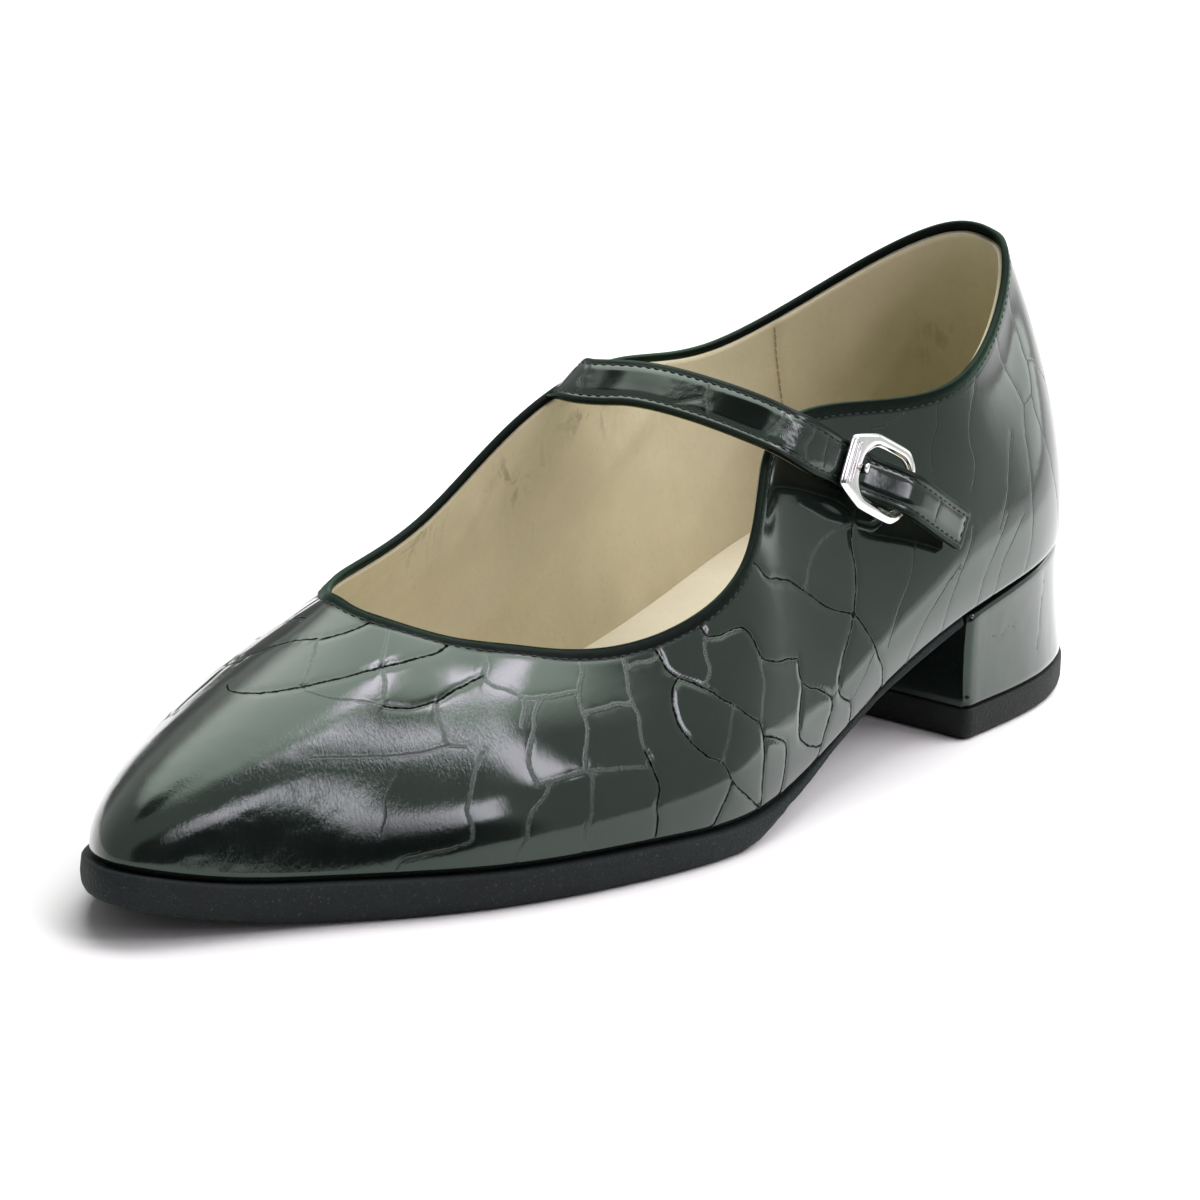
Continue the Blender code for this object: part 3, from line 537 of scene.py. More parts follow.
# ---------------------------------------------------------------- materials
class Nodes:
    """Small helper around one node tree."""

    def __init__(self, name):
        self.mat = bpy.data.materials.new(name)
        self.mat.use_nodes = True
        self.tree = self.mat.node_tree
        self.bsdf = self.tree.nodes["Principled BSDF"]

    def new(self, kind, **fields):
        node = self.tree.nodes.new(kind)
        for k, v in fields.items():
            setattr(node, k, v)
        return node

    def link(self, a, b):
        self.tree.links.new(a, b)

    def put(self, socket, value):
        if hasattr(value, "is_output"):
            self.link(value, socket)
        else:
            socket.default_value = value

    def coords(self):
        return self.new("ShaderNodeTexCoord").outputs["Object"]

    def noise(self, scale, detail=3.0, rough=0.55, distortion=0.0, at=None, stretch=None):
        n = self.new("ShaderNodeTexNoise")
        n.inputs["Scale"].default_value = scale
        n.inputs["Detail"].default_value = detail
        n.inputs["Roughness"].default_value = rough
        n.inputs["Distortion"].default_value = distortion
        src = at or self.coords()
        if stretch:
            m = self.new("ShaderNodeMapping")
            m.inputs["Scale"].default_value = stretch
            self.link(src, m.inputs["Vector"])
            src = m.outputs["Vector"]
        self.link(src, n.inputs["Vector"])
        return n.outputs["Fac"]

    def cells(self, scale, feature="F1", at=None, rand=1.0):
        n = self.new("ShaderNodeTexVoronoi", feature=feature)
        n.inputs["Scale"].default_value = scale
        n.inputs["Randomness"].default_value = rand
        self.link(at or self.coords(), n.inputs["Vector"])
        return n.outputs["Distance"]

    def attr(self, name):
        n = self.new("ShaderNodeAttribute")
        n.attribute_name = name
        return n.outputs["Fac"]

    def math(self, op, a, b=0.0, clamp=False):
        n = self.new("ShaderNodeMath", operation=op, use_clamp=clamp)
        self.put(n.inputs[0], a)
        self.put(n.inputs[1], b)
        return n.outputs[0]

    def span(self, value, a, b, lo=0.0, hi=1.0, smooth_step=True):
        n = self.new("ShaderNodeMapRange")
        n.interpolation_type = "SMOOTHSTEP" if smooth_step else "LINEAR"
        self.put(n.inputs["Value"], value)
        n.inputs["From Min"].default_value = a
        n.inputs["From Max"].default_value = b
        n.inputs["To Min"].default_value = lo
        n.inputs["To Max"].default_value = hi
        return n.outputs["Result"]

    def mix(self, fac, a, b):
        n = self.new("ShaderNodeMix", data_type="RGBA")
        self.put(n.inputs[0], fac)
        for sock, val in ((n.inputs[6], a), (n.inputs[7], b)):
            if isinstance(val, tuple):
                sock.default_value = (*val, 1.0)
            else:
                self.link(val, sock)
        return n.outputs[2]

    def bump(self, height, strength=1.0, distance=1.0, normal=None):
        n = self.new("ShaderNodeBump")
        n.inputs["Strength"].default_value = strength
        n.inputs["Distance"].default_value = distance
        self.link(height, n.inputs["Height"])
        if normal is not None:
            self.link(normal, n.inputs["Normal"])
        return n.outputs["Normal"]


def patent(name, colour=(0.0050, 0.0072, 0.0062), rough=0.085, coat_rough=0.045, grain=1.0, crinkle=1.0,
           tint=(0.72, 1.0, 0.815)):
    """Black-green patent leather: lacquer over an embossed grain.  The mesh
    gives to_line (the way to the nearest embossed line, in mm), near (1 on a
    line, 0 from 3 mm on), dark, crinkle, edge (folded edges) and hairy."""
    k = Nodes(name)
    near, dark, crin, edge, hairy = [k.attr(q) for q in ("near", "dark", "crinkle", "edge", "hairy")]
    way = k.new("ShaderNodeAttribute")
    way.attribute_name = "to_line"
    size = k.new("ShaderNodeVectorMath", operation="LENGTH")
    k.link(way.outputs["Vector"], size.inputs[0])
    wander = k.noise(1500.0, 3.0, 0.6)
    dist = k.math("ADD", size.outputs["Value"], k.math("MULTIPLY", k.math("SUBTRACT", wander, 0.5), 0.52))
    gate = k.span(near, 0.66, 0.78)
    line = k.math("MULTIPLY", k.math("MULTIPLY", k.span(dist, 0.06, 0.32, 1.0, 0.0), dark), gate)
    border = k.math("MULTIPLY", k.math("MULTIPLY", k.span(dist, 0.10, 0.62, 1.0, 0.0), crin), gate)
    cloud = k.noise(55.0, 4.0, 0.6)
    tone = k.mix(k.span(cloud, 0.3, 0.7), tuple(c * 0.75 for c in colour), tuple(c * 1.35 for c in colour))
    # painted sheen: the crinkled fold borders get a lighter grey base colour that stands in for the glints off their
    # crinkles; the crinkles themselves are the bump below
    tone = k.mix(k.math("MULTIPLY", border, 0.35), tone, (0.030, 0.038, 0.034))
    tone = k.mix(edge, tone, (0.0040, 0.0048, 0.0046))
    tone = k.mix(line, tone, (0.0010, 0.0012, 0.0011))
    k.link(tone, k.bsdf.inputs["Base Color"])
    smear = k.noise(140.0, 5.0, 0.65, 0.6)
    r = k.math("ADD", k.span(smear, 0.35, 0.75, rough * 0.7, rough * 1.6), k.math("MULTIPLY", border, 0.14))
    r = k.math("ADD", r, k.math("MULTIPLY", hairy, 0.035))
    r = k.math("ADD", r, k.math("MULTIPLY", edge, 0.42))
    r = k.math("ADD", r, k.math("MULTIPLY", line, 0.55), clamp=True)
    k.link(r, k.bsdf.inputs["Roughness"])
    k.bsdf.inputs["Coat Roughness"].default_value = coat_rough
    worn_through = k.math("ADD", line, k.math("MULTIPLY", edge, 0.85), clamp=True)
    k.link(worn_through, k.bsdf.inputs["Metallic"])
    bare = k.math("SUBTRACT", 1.0, k.math("ADD", line, edge), clamp=True)
    k.link(k.math("MULTIPLY", bare, 0.42), k.bsdf.inputs["Coat Weight"])
    k.bsdf.inputs["Specular IOR Level"].default_value = 0.5
    k.bsdf.inputs["Specular Tint"].default_value = (*tint, 1)
    k.bsdf.inputs["Coat IOR"].default_value = 1.5
    fine = k.noise(2600.0, 3.0, 0.6, 0.8)
    creep = k.noise(1700.0, 4.0, 0.70, 1.4)
    ripple = k.noise(330.0, 3.0, 0.5)
    hair = k.noise(2100.0, 3.0, 0.6, 0.9, stretch=(1.0, 1.0, 0.36))
    h = k.math("MULTIPLY", fine, 0.0000030 * grain)
    h = k.math("ADD", h, k.math("MULTIPLY", ripple, 0.000014 * grain))
    h = k.math("ADD", h, k.math("MULTIPLY", k.math("MULTIPLY", border, creep), 0.000075 * crinkle))
    h = k.math("ADD", h, k.math("MULTIPLY", k.math("MULTIPLY", hairy, hair), 0.000030))
    h = k.math("ADD", h, k.math("MULTIPLY", k.math("MULTIPLY", edge, creep), 0.000040))
    h = k.math("SUBTRACT", h, k.math("MULTIPLY", line, 0.00009))
    n = k.bump(h)
    k.link(n, k.bsdf.inputs["Normal"])
    k.link(n, k.bsdf.inputs["Coat Normal"])
    return k.mat


def lining_leather(name, pale, deep, rough=0.62, pore=1.0):
    """Unlacquered lining leather with pores, soft clouding and handling marks."""
    k = Nodes(name)
    cloud = k.noise(38.0, 5.0, 0.62)
    speck = k.noise(900.0, 3.0, 0.7)
    tone = k.mix(k.span(cloud, 0.30, 0.72), pale, deep)
    tone = k.mix(k.span(speck, 0.55, 0.80, 0.0, 0.30), tone, tuple(c * 0.72 for c in deep))
    mark = k.attr("mark")
    smear = k.noise(260.0, 4.0, 0.7, 1.2, stretch=(1.0, 1.0, 0.45))
    tone = k.mix(k.math("MULTIPLY", k.span(smear, 0.50, 0.62), mark), tone, (0.055, 0.048, 0.038))
    k.link(tone, k.bsdf.inputs["Base Color"])
    k.link(k.span(speck, 0.3, 0.8, rough - 0.08, rough + 0.12), k.bsdf.inputs["Roughness"])
    k.bsdf.inputs["Specular IOR Level"].default_value = 0.35
    k.bsdf.inputs["Sheen Weight"].default_value = 0.12
    pores = k.cells(1500.0)
    wave = k.noise(420.0, 4.0, 0.6, 0.4)
    h = k.math("ADD", k.math("MULTIPLY", k.span(pores, 0.0, 0.35), 0.000025 * pore), k.math("MULTIPLY", wave, 0.00007))
    k.link(k.bump(h, 0.8), k.bsdf.inputs["Normal"])
    return k.mat


def rubber(name, colour, speckle, rough, size=1500.0):
    k = Nodes(name)
    grit = k.noise(size, 3.0, 0.75)
    cloud = k.noise(70.0, 4.0, 0.6)
    tone = k.mix(k.span(cloud, 0.3, 0.7), tuple(c * 0.8 for c in colour), tuple(c * 1.25 for c in colour))
    tone = k.mix(k.span(grit, 0.56, 0.70), tone, speckle)
    k.link(tone, k.bsdf.inputs["Base Color"])
    k.link(k.span(grit, 0.3, 0.7, rough - 0.12, rough + 0.08), k.bsdf.inputs["Roughness"])
    k.bsdf.inputs["Specular IOR Level"].default_value = 0.32
    pit = k.cells(size * 0.8)
    h = k.math("ADD", k.math("MULTIPLY", grit, 0.00016), k.math("MULTIPLY", pit, 0.00010))
    k.link(k.bump(h, 0.9), k.bsdf.inputs["Normal"])
    return k.mat


def silver(name, rough, grooved=False):
    """Polished silver; where grooved, the mesh's inlay value blackens the engraved lines."""
    k = Nodes(name)
    hair = k.noise(900.0, 4.0, 0.7, stretch=(1.0, 0.12, 0.12))
    cloud = k.noise(160.0, 3.0, 0.6)
    tone = k.mix(k.span(cloud, 0.3, 0.7), (0.80, 0.81, 0.80), (0.90, 0.905, 0.90))
    shine = k.span(hair, 0.35, 0.75, rough * 0.7, rough * 1.6)
    if grooved:
        inlay = k.attr("inlay")
        tone = k.mix(inlay, tone, (0.030, 0.032, 0.034))
        shine = k.math("ADD", shine, k.math("MULTIPLY", inlay, 0.40))
    k.link(tone, k.bsdf.inputs["Base Color"])
    k.bsdf.inputs["Metallic"].default_value = 1.0
    k.link(shine, k.bsdf.inputs["Roughness"])
    k.link(k.bump(k.math("MULTIPLY", hair, 0.000004)), k.bsdf.inputs["Normal"])
    return k.mat


def thread(name, colour):
    k = Nodes(name)
    twist = k.noise(5200.0, 2.0, 0.6, stretch=(1.0, 1.0, 0.4))
    k.link(k.mix(twist, tuple(c * 0.5 for c in colour), tuple(c * 1.6 for c in colour)), k.bsdf.inputs["Base Color"])
    k.link(k.span(twist, 0.2, 0.8, 0.45, 0.75), k.bsdf.inputs["Roughness"])
    k.link(k.bump(k.math("MULTIPLY", twist, 0.00008)), k.bsdf.inputs["Normal"])
    return k.mat


M_UPPER = patent("patent_upper")
M_STRAP = patent("patent_strap_top", rough=0.10, coat_rough=0.06)
M_HEEL = patent("patent_heel_cover", rough=0.075, coat_rough=0.04, crinkle=0.7)
M_TAB = patent("patent_tab_top", rough=0.12, coat_rough=0.06)
M_LINING = lining_leather("lining_beige", (0.61, 0.555, 0.38), (0.525, 0.475, 0.315))
M_SOCK = lining_leather("sock_beige", (0.80, 0.75, 0.59), (0.72, 0.67, 0.51), 0.58, 0.7)
M_TAN = lining_leather("strap_underside", (0.30, 0.24, 0.14), (0.20, 0.155, 0.085), 0.66)
M_SOLE = rubber("sole_rubber_grain", (0.0058, 0.0092, 0.0094), (0.034, 0.048, 0.049), 0.78)
M_TOPP = rubber("top_piece_grain", (0.0050, 0.0066, 0.0064), (0.013, 0.017, 0.016), 0.70, 2200.0)
M_SILVER = silver("silver_polished", 0.13, True)
M_PRONG = silver("silver_prong", 0.16)
M_THREAD = thread("thread_black", (0.008, 0.010, 0.013))
M_TAN_THREAD = thread("thread_tan", (0.40, 0.335, 0.22))


# ------------------------------------------------------------------- upper
def columns(n, dense):
    """Places round the last: evenly in length, closer where dense(u) is larger."""
    u = np.linspace(0, NS, 2201)
    p = skin(u, np.full(len(u), 0.45))
    step = np.linalg.norm(np.diff(p, axis=0), axis=1) * dense((u[1:] + u[:-1]) / 2)
    run = np.r_[0, np.cumsum(step)]
    return np.interp(np.arange(n) * run[-1] / n, run, u)


def camera_side(u):
    return 0.52 + 0.48 * smooth((u - 1.2) / 1.2) * (1 - smooth((u - 12.2) / 1.6))


N_U, N_V = 1040, 78
cols = columns(N_U, camera_side)
rows_v = np.r_[0.0, 0.012, 0.026, np.linspace(0.042, 0.945, N_V - 10), 0.957, 0.968, 0.977, 0.985, 0.991, 0.996, 0.999]
U, V = np.meshgrid(cols, rows_v)
wall = skin(U.ravel(), V.ravel()).reshape(N_V, N_U, 3)
normal = skin_normal(U.ravel(), np.clip(V.ravel(), 0.004, 0.996)).reshape(N_V, N_U, 3)
height = np.vstack([np.zeros(N_U), np.cumsum(np.linalg.norm(np.diff(wall, axis=0), axis=2), axis=0)])
below_top = height[-1] - height


def charted():
    """Points along the charted lines, with the kind of each."""
    pts, kinds = [], []
    for n, row in enumerate(LINES):
        kind, q = row[0], eased(row[1:], 2)
        run = np.r_[0, np.cumsum(np.hypot(np.diff(q[:, 0]) * 26, np.diff(q[:, 1]) * 58))]
        s = np.linspace(0, run[-1], max(4, int(run[-1] / 0.25)))
        u, v = np.interp(s, run, q[:, 0]), np.clip(np.interp(s, run, q[:, 1]), 0, 1)
        p = skin(u, v)
        p = p + np.stack([soft_noise(p, 1.8, 11 + n), soft_noise(p, 1.8, 61 + n), soft_noise(p, 1.8, 91 + n)], 1) * 0.14
        pts.append(p)
        kinds += [kind] * len(p)
    return np.vstack(pts), kinds


line_pts, line_kinds = charted()
tree = kdtree.KDTree(len(line_pts))
for i, p in enumerate(line_pts):
    tree.insert(Vector(p), i)
tree.balance()

P = wall.reshape(-1, 3)
warp = np.stack([soft_noise(P, 6.0, 5), soft_noise(P, 6.0, 6), soft_noise(P, 6.0, 7)], 1) * 0.35
d_line = np.empty(len(P))
k_line = np.empty(len(P), int)
for i, p in enumerate(P):
    co, k, dist = tree.find(Vector(p))
    d_line[i] = dist
    k_line[i] = k
way_line = P - line_pts[k_line]
kinds = ("crack", "fold", "faint")
code = np.array([kinds.index(k) for k in line_kinds])[k_line]
depth = np.array([LINE_DEPTH[k] for k in kinds])[code]
darkness = np.array([LINE_DARK[k] for k in kinds])[code]
crinkling = np.array([LINE_CRINKLE[k] for k in kinds])[code]

# plates by cells where the chart stops
rng = np.random.default_rng(4)
seeds = []
for name, u0, u1, around, tall, lean in REGIONS[1:]:
    uu = np.linspace(u0, u1, 60)
    length = np.linalg.norm(np.diff(skin(uu, np.full(60, 0.45)), axis=0), axis=1).sum()
    h_mean = np.interp((u0 + u1) / 2, cols, height[-1])
    n_u, n_v = max(2, round(length / around)), max(2, round(h_mean / tall))
    for a in range(n_u):
        for b in range(n_v):
            su = u0 + (u1 - u0) * (a + 0.5 * (b % 2) + 0.25 + rng.uniform(-0.28, 0.28)) / n_u
            sv = (b + 0.5 + rng.uniform(-0.30, 0.30)) / n_v
            seeds.append((su + lean * (sv - 0.5), sv, around * rng.uniform(0.8, 1.2), tall * rng.uniform(0.8, 1.2), lean))
seeds = np.array(seeds)
s_pos = skin(seeds[:, 0] % NS, seeds[:, 1])
s_n = skin_normal(seeds[:, 0] % NS, np.clip(seeds[:, 1], .02, .98))
s_up = skin(seeds[:, 0] % NS, np.clip(seeds[:, 1] + 0.05, 0, 1)) - skin(seeds[:, 0] % NS, np.clip(seeds[:, 1] - 0.05, 0, 1))
s_up = unit(s_up)
s_side = np.cross(s_n, s_up)
uncharted = (1 - smooth((U.ravel() - 2.2) / 0.35) * (1 - smooth((U.ravel() - 11.9) / 0.5))) > 0.5
far = np.where(uncharted)[0]
Q = P[far] + warp[far] * 3
best = np.full((len(far), 2), 1e9)
grad = np.zeros((len(far), 2, 3))
for c, nn, up_, sd, row in zip(s_pos, s_n, s_up, s_side, seeds):
    d = Q - c
    a, b, e = d @ sd, d @ up_, d @ nn
    w, t = row[2] / 2, row[3] / 2
    r = np.sqrt((a / w) ** 2 + (b / t) ** 2 + (e / w) ** 2) + 1e-6
    g = (sd * (a / w ** 2 / r)[:, None] + up_ * (b / t ** 2 / r)[:, None] + nn * (e / w ** 2 / r)[:, None])
    closer = r < best[:, 0]
    second = ~closer & (r < best[:, 1])
    best[closer, 1] = best[closer, 0]
    grad[closer, 1] = grad[closer, 0]
    best[closer, 0] = r[closer]
    grad[closer, 0] = g[closer]
    best[second, 1] = r[second]
    grad[second, 1] = g[second]
d_cell = (best[:, 1] - best[:, 0]) / np.maximum(np.linalg.norm(grad[:, 1] - grad[:, 0], axis=1), 0.02)
heel_zone = (U.ravel()[far] < 3) | (U.ravel()[far] > 19.4)
closer = d_cell < d_line[far]
idx = far[closer]
d_line[idx] = d_cell[closer]
way_line[idx] = unit(grad[closer, 1] - grad[closer, 0]) * d_cell[closer][:, None]
hz = heel_zone[closer]
mixk = soft_noise(P[idx], 16.0, 33)
depth[idx] = np.where(hz, LINE_DEPTH["faint"], np.where(mixk > 0.0, LINE_DEPTH["crack"], LINE_DEPTH["fold"]))
darkness[idx] = np.where(hz, LINE_DARK["faint"], np.where(mixk > 0.0, 1.0, 0.15))
crinkling[idx] = np.where(hz, LINE_CRINKLE["faint"], np.where(mixk > 0.0, 0.5, 1.0))
depth, darkness, crinkling, d_line = [q.reshape(N_V, N_U) for q in (depth, darkness, crinkling, d_line)]

# the embossing fades into the folded edge at the topline and into the sole
edge_fade = smooth((below_top - 1.3) / 0.9) * smooth((height - 0.3) / 1.2)
broken = 0.75 + 0.35 * soft_noise(wall, 5.0, 21)
emboss = -depth * broken * np.exp(-(d_line / 0.60) ** 2) - 0.28 * depth * np.exp(-d_line / 1.5)
lumps = 0.055 * soft_noise(wall, 15.0, 2) + 0.018 * soft_noise(wall, 7.0, 3)
# finer crinkles over the toe and along the border of each plate
near_line = np.exp(-(d_line / 1.3) ** 2) * crinkling
crumple = 0.015 * soft_noise(wall, 1.5, 8) * near_line
toe_zone = smooth((U - 8.6) / 1.2) * (1 - smooth((U - 14.5) / 1.5)) * smooth((0.80 - V) / 0.2)
streak = 0.022 * soft_noise(wall * (1.0, 1.0, 2.0), 2.4, 9) * toe_zone
h = (emboss + lumps) * edge_fade + crumple * edge_fade + streak * edge_fade
# folded edge: a narrow rolled band, then a stitched groove
STITCH_BELOW = 1.75
band = (0.13 + 0.05 * soft_noise(wall, 1.6, 27)) * smooth((1.45 - below_top) / 0.40) * smooth(below_top / 0.5 + 0.35)
seam = -0.13 * np.exp(-((below_top - STITCH_BELOW) / 0.34) ** 2)
foot = -0.75 * (1 - smooth(height / 1.1))
back_seam = -0.22 * np.exp(-(np.minimum(np.abs(wall[..., 1] - (wall[..., 0] * 0.02)), 9) / 0.35) ** 2) \
    * ((U < 0.6) | (U > NS - 0.6)) * edge_fade
h = h + band + seam + foot + back_seam
outer = wall + normal * h[..., None]
near = np.clip(1 - d_line / 3.0, 0, 1) * edge_fade
edge_band = 1 - smooth((below_top - 1.75) / 0.45)
hairy = smooth((U - 7.9) / 0.7) * (1 - smooth((U - 11.8) / 0.8)) * (1 - smooth((V - 0.70) / 0.15)) \
    + 0.8 * np.exp(-((U - 8.3) / 0.35) ** 2 - ((V - 0.70) / 0.16) ** 2)
hairy = np.clip(hairy, 0, 1) * (0.78 + 0.30 * soft_noise(wall, 7.0, 29)) + 0.10

TOP_R = 0.62
top = wall[-1]
n_top = normal[-1]
up_top = unit(wall[-1] - wall[-4])
arc = []
for a in (25, 55, 90, 125, 155):
    g = math.radians(a)
    arc.append(top - n_top * TOP_R * (1 - math.cos(g)) + n_top * 0.22 * math.cos(g) * (g < 1.6)
               + up_top * (0.50 * math.sin(g)))
inner_v = (0.985, 0.93, 0.75, 0.5, 0.25, 0.07)
inner = [skin(cols, np.full(N_U, v)) - skin_normal(cols, np.full(N_U, v)) * 1.16 for v in inner_v]
margin_in = [feather(cols, -1.6, 1.15), feather(cols, -6.5, 1.15)]
margin_out = [feather(cols, -6.5, 0.02), feather(cols, -2.0, 0.02), feather(cols, -0.9, 0.02)]
loop = margin_out + list(outer) + arc + inner + margin_in
n_loop = len(loop)
verts = np.vstack(loop)
pad_a, pad_b = len(margin_out), n_loop - len(margin_out) - N_V


def padded_rows(q, before=0.0, after=0.0):
    return np.vstack([np.full((pad_a, N_U), before), q, np.full((pad_b, N_U), after)]).ravel()


way = np.vstack([np.full((pad_a * N_U, 3), 9.0), way_line, np.full((pad_b * N_U, 3), 9.0)])
upper = piece("upper_patent", verts, quads(N_U, n_loop, True, True), M_UPPER,
              stands_for=["upper"],
              attrs={"near": padded_rows(near), "dark": padded_rows(darkness * edge_fade), "to_line": way,
                     "crinkle": padded_rows(crinkling * edge_fade), "edge": padded_rows(edge_band, 0.0, 1.0),
                     "hairy": padded_rows(hairy)})

# stitch row under the folded edge
frac = np.array([np.interp(STITCH_BELOW, below_top[::-1, j], np.arange(N_V)[::-1]) for j in range(N_U)])
lo = np.floor(frac).astype(int)
hi = np.minimum(lo + 1, N_V - 1)
w = (frac - lo)[:, None]
j = np.arange(N_U)
seam_pts = outer[lo, j] * (1 - w) + outer[hi, j] * w
seam_n = normal[lo, j]
ring = np.r_[np.arange(N_U), 0]
v_s, f_s = stitches([(seam_pts[ring], seam_n[ring])], 1.9, 1.30, 0.15)
topline_thread = piece("topline_stitches", v_s, f_s, M_THREAD)

# ------------------------------------------------------------------- lining
N_L = 560
lc = columns(N_L, lambda u: np.ones_like(u))
lv = np.r_[0.02, 0.05, np.linspace(0.085, 0.955, 46)]
LU, LV = np.meshgrid(lc, lv)
lwall = skin(LU.ravel(), LV.ravel()).reshape(len(lv), N_L, 3)
lnorm = skin_normal(LU.ravel(), LV.ravel()).reshape(len(lv), N_L, 3)
ltop = skin(lc, np.ones(N_L))
lheight = np.linalg.norm(lwall - ltop[None], axis=2)
# soft creases of the lining, charted on the last: ends as (section, height), depth and width in mm
CREASES = (("u0", "v0", "u1", "v1", "deep", "wide"),
           (16.6, 0.80, 15.0, 0.35, 0.60, 6.0), (18.4, 0.75, 16.4, 0.25, 0.70, 7.0),
           (15.3, 0.80, 13.9, 0.50, 0.30, 5.0), (19.1, 0.45, 18.2, 0.10, 0.35, 5.0),
           (13.4, 0.85, 12.9, 0.55, 0.30, 4.0), (20.6, 0.55, 19.8, 0.25, 0.30, 5.0),
           (6.2, 0.70, 7.2, 0.35, 0.30, 4.0), (17.0, 0.90, 16.7, 0.62, 0.25, 2.2))
crease = np.zeros(lwall.shape[:2])
for u0, v0, u1, v1, deep, wide in table(CREASES):
    s = np.linspace(0, 1, 60)
    q = skin(u0 + (u1 - u0) * s, v0 + (v1 - v0) * (s + 0.12 * np.sin(s * 3.1)))
    tr = kdtree.KDTree(len(q))
    for i, p in enumerate(q):
        tr.insert(Vector(p), i)
    tr.balance()
    flat = lwall.reshape(-1, 3)
    dist = np.array([tr.find(Vector(p))[2] for p in flat]).reshape(crease.shape)
    crease += deep * (np.exp(-(dist / (wide * 0.45)) ** 2) - 0.55 * np.exp(-((dist - wide) / (wide * 0.6)) ** 2))
loose = smooth((lheight - 3.0) / 8.0)
crease = crease * loose + 0.14 * soft_noise(lwall, 11.0, 44) * loose + 0.05 * soft_noise(lwall, 4.0, 45) * loose
# the heel grip: a second layer from the heel seam back, its front edge sewn
GRIP_IN, GRIP_OUT = 19.42, 2.6
grip_at = GRIP_IN + 0.25 * (1 - LV)
grip = 0.45 * smooth(np.where(LU > 11, LU - grip_at, -9) / 0.035) + 0.45 * smooth(np.where(LU < 11, GRIP_OUT - LU, -9) / 0.035)
inset = 1.80 + np.maximum(crease + grip, -0.25)
inner_face = lwall - lnorm * inset[..., None]
lt_n = skin_normal(lc, np.full(N_L, 0.985))
edge_v = np.full(N_L, 0.978)
edge_p = skin(lc, edge_v)
rim = [edge_p - lt_n * (inset[-1][:, None] * 0.97), edge_p - lt_n * (inset[-1][:, None] * 0.90),
       edge_p - lt_n * 1.24]
back_rows = [skin(lc, np.full(N_L, v)) - skin_normal(lc, np.full(N_L, v)) * 1.22 for v in (0.93, 0.75, 0.5, 0.25, 0.06, 0.02)]
loop = list(inner_face) + rim + back_rows
marks = np.zeros((len(loop), N_L))
SMUDGES = (("u", "v", "reach", "strong"), (17.8, 0.86, 6.5, 0.6), (17.1, 0.76, 5.5, 0.5), (18.5, 0.90, 6.0, 0.4),
           (16.0, 0.90, 6.0, 0.35), (20.9, 0.55, 5.0, 0.25), (14.0, 0.85, 6.0, 0.25))
for u, v, reach, strong in table(SMUDGES):
    c = skin(np.array([u]), np.array([v]))[0]
    marks[:len(lv)] = np.maximum(marks[:len(lv)], strong * np.exp(-(np.linalg.norm(lwall - c, axis=2) / reach) ** 2))
marks[:len(lv)] = np.maximum(marks[:len(lv)], 0.35 * (1 - smooth(lheight / 2.2)))
lining = piece("lining", np.vstack(loop), quads(N_L, len(loop), True, True), M_LINING,
               attrs={"mark": marks.ravel()})
# the seam at the front edge of the heel grip
grip_lines = []
for u_seam, shift in ((GRIP_IN, -0.004), (GRIP_OUT, 0.004)):
    vs = np.linspace(0.22, 0.955, 90)
    ug = u_seam + shift + (0.25 * (1 - vs) if u_seam > 11 else 0 * vs)
    q = skin(ug, vs)
    qn = skin_normal(ug, vs)
    deep = np.array([np.interp(h_, lv, inset[:, int(np.argmin(np.abs(lc - a_)))]) for a_, h_ in zip(ug, vs)])
    grip_lines.append((q - qn * (deep + 0.10)[:, None], -qn))
v_s, f_s = stitches(grip_lines, 1.5, 1.46, 0.19)
grip_thread = piece("heel_grip_stitches", v_s, f_s, M_TAN_THREAD)

# --------------------------------------------------------------------- sock
SOCK_Z = 4.6
N_S = 320
# point 0 at the back, the point halfway at the toe


def even(u0, u1, n):
    u = np.linspace(u0, u1, 400)
    p = sole_line(u)
    run = np.r_[0, np.cumsum(np.linalg.norm(np.diff(p, axis=0), axis=1))]
    return np.interp(np.linspace(0, run[-1], n), run, u)


us = np.r_[even(0, 11, N_S // 2 + 1), even(11, 22, N_S // 2 + 1)[1:-1]]
fine_v = np.linspace(0, 0.4, 60)
FU, FV = np.meshgrid(us, fine_v)
fp = skin(FU.ravel(), FV.ravel()).reshape(60, N_S, 3)
rise = fp[..., 2] - bed(fp[0, :, 0])
at_v = np.array([np.interp(SOCK_Z, rise[:, i], fine_v) for i in range(N_S)])
edge0 = skin(us, at_v) - skin_normal(us, at_v) * 1.98


def sock_ring(inset_mm, z):
    xy = edge0[:, :2] - outward(sole_line, us) * inset_mm
    return np.column_stack([xy, bed(xy[:, 0]) + z])


rings = [sock_ring(1.2, 2.0), sock_ring(0.25, 2.2), sock_ring(0.05, SOCK_Z - 0.9), sock_ring(0.1, SOCK_Z - 0.45),
         sock_ring(0.40, SOCK_Z - 0.12), sock_ring(0.95, SOCK_Z)]
n_s = N_S


def sock_top(p, f):
    across = 4 * f * (1 - f)
    lift = 0.25 * across ** 0.5
    if p[0] < 70:
        lift -= 0.9 * smooth(across) * smooth((70 - p[0]) / 40) * smooth(p[0] / 25)
    q = np.array([p[0], p[1], bed(np.array([p[0]]))[0] + SOCK_Z + lift])
    q[2] += 0.10 * soft_noise(q, 13.0, 71) + 0.03 * soft_noise(q, 4.0, 72)
    return q


def sock_under(p, f):
    return np.array([p[0], p[1], bed(np.array([p[0]]))[0] + 2.0])


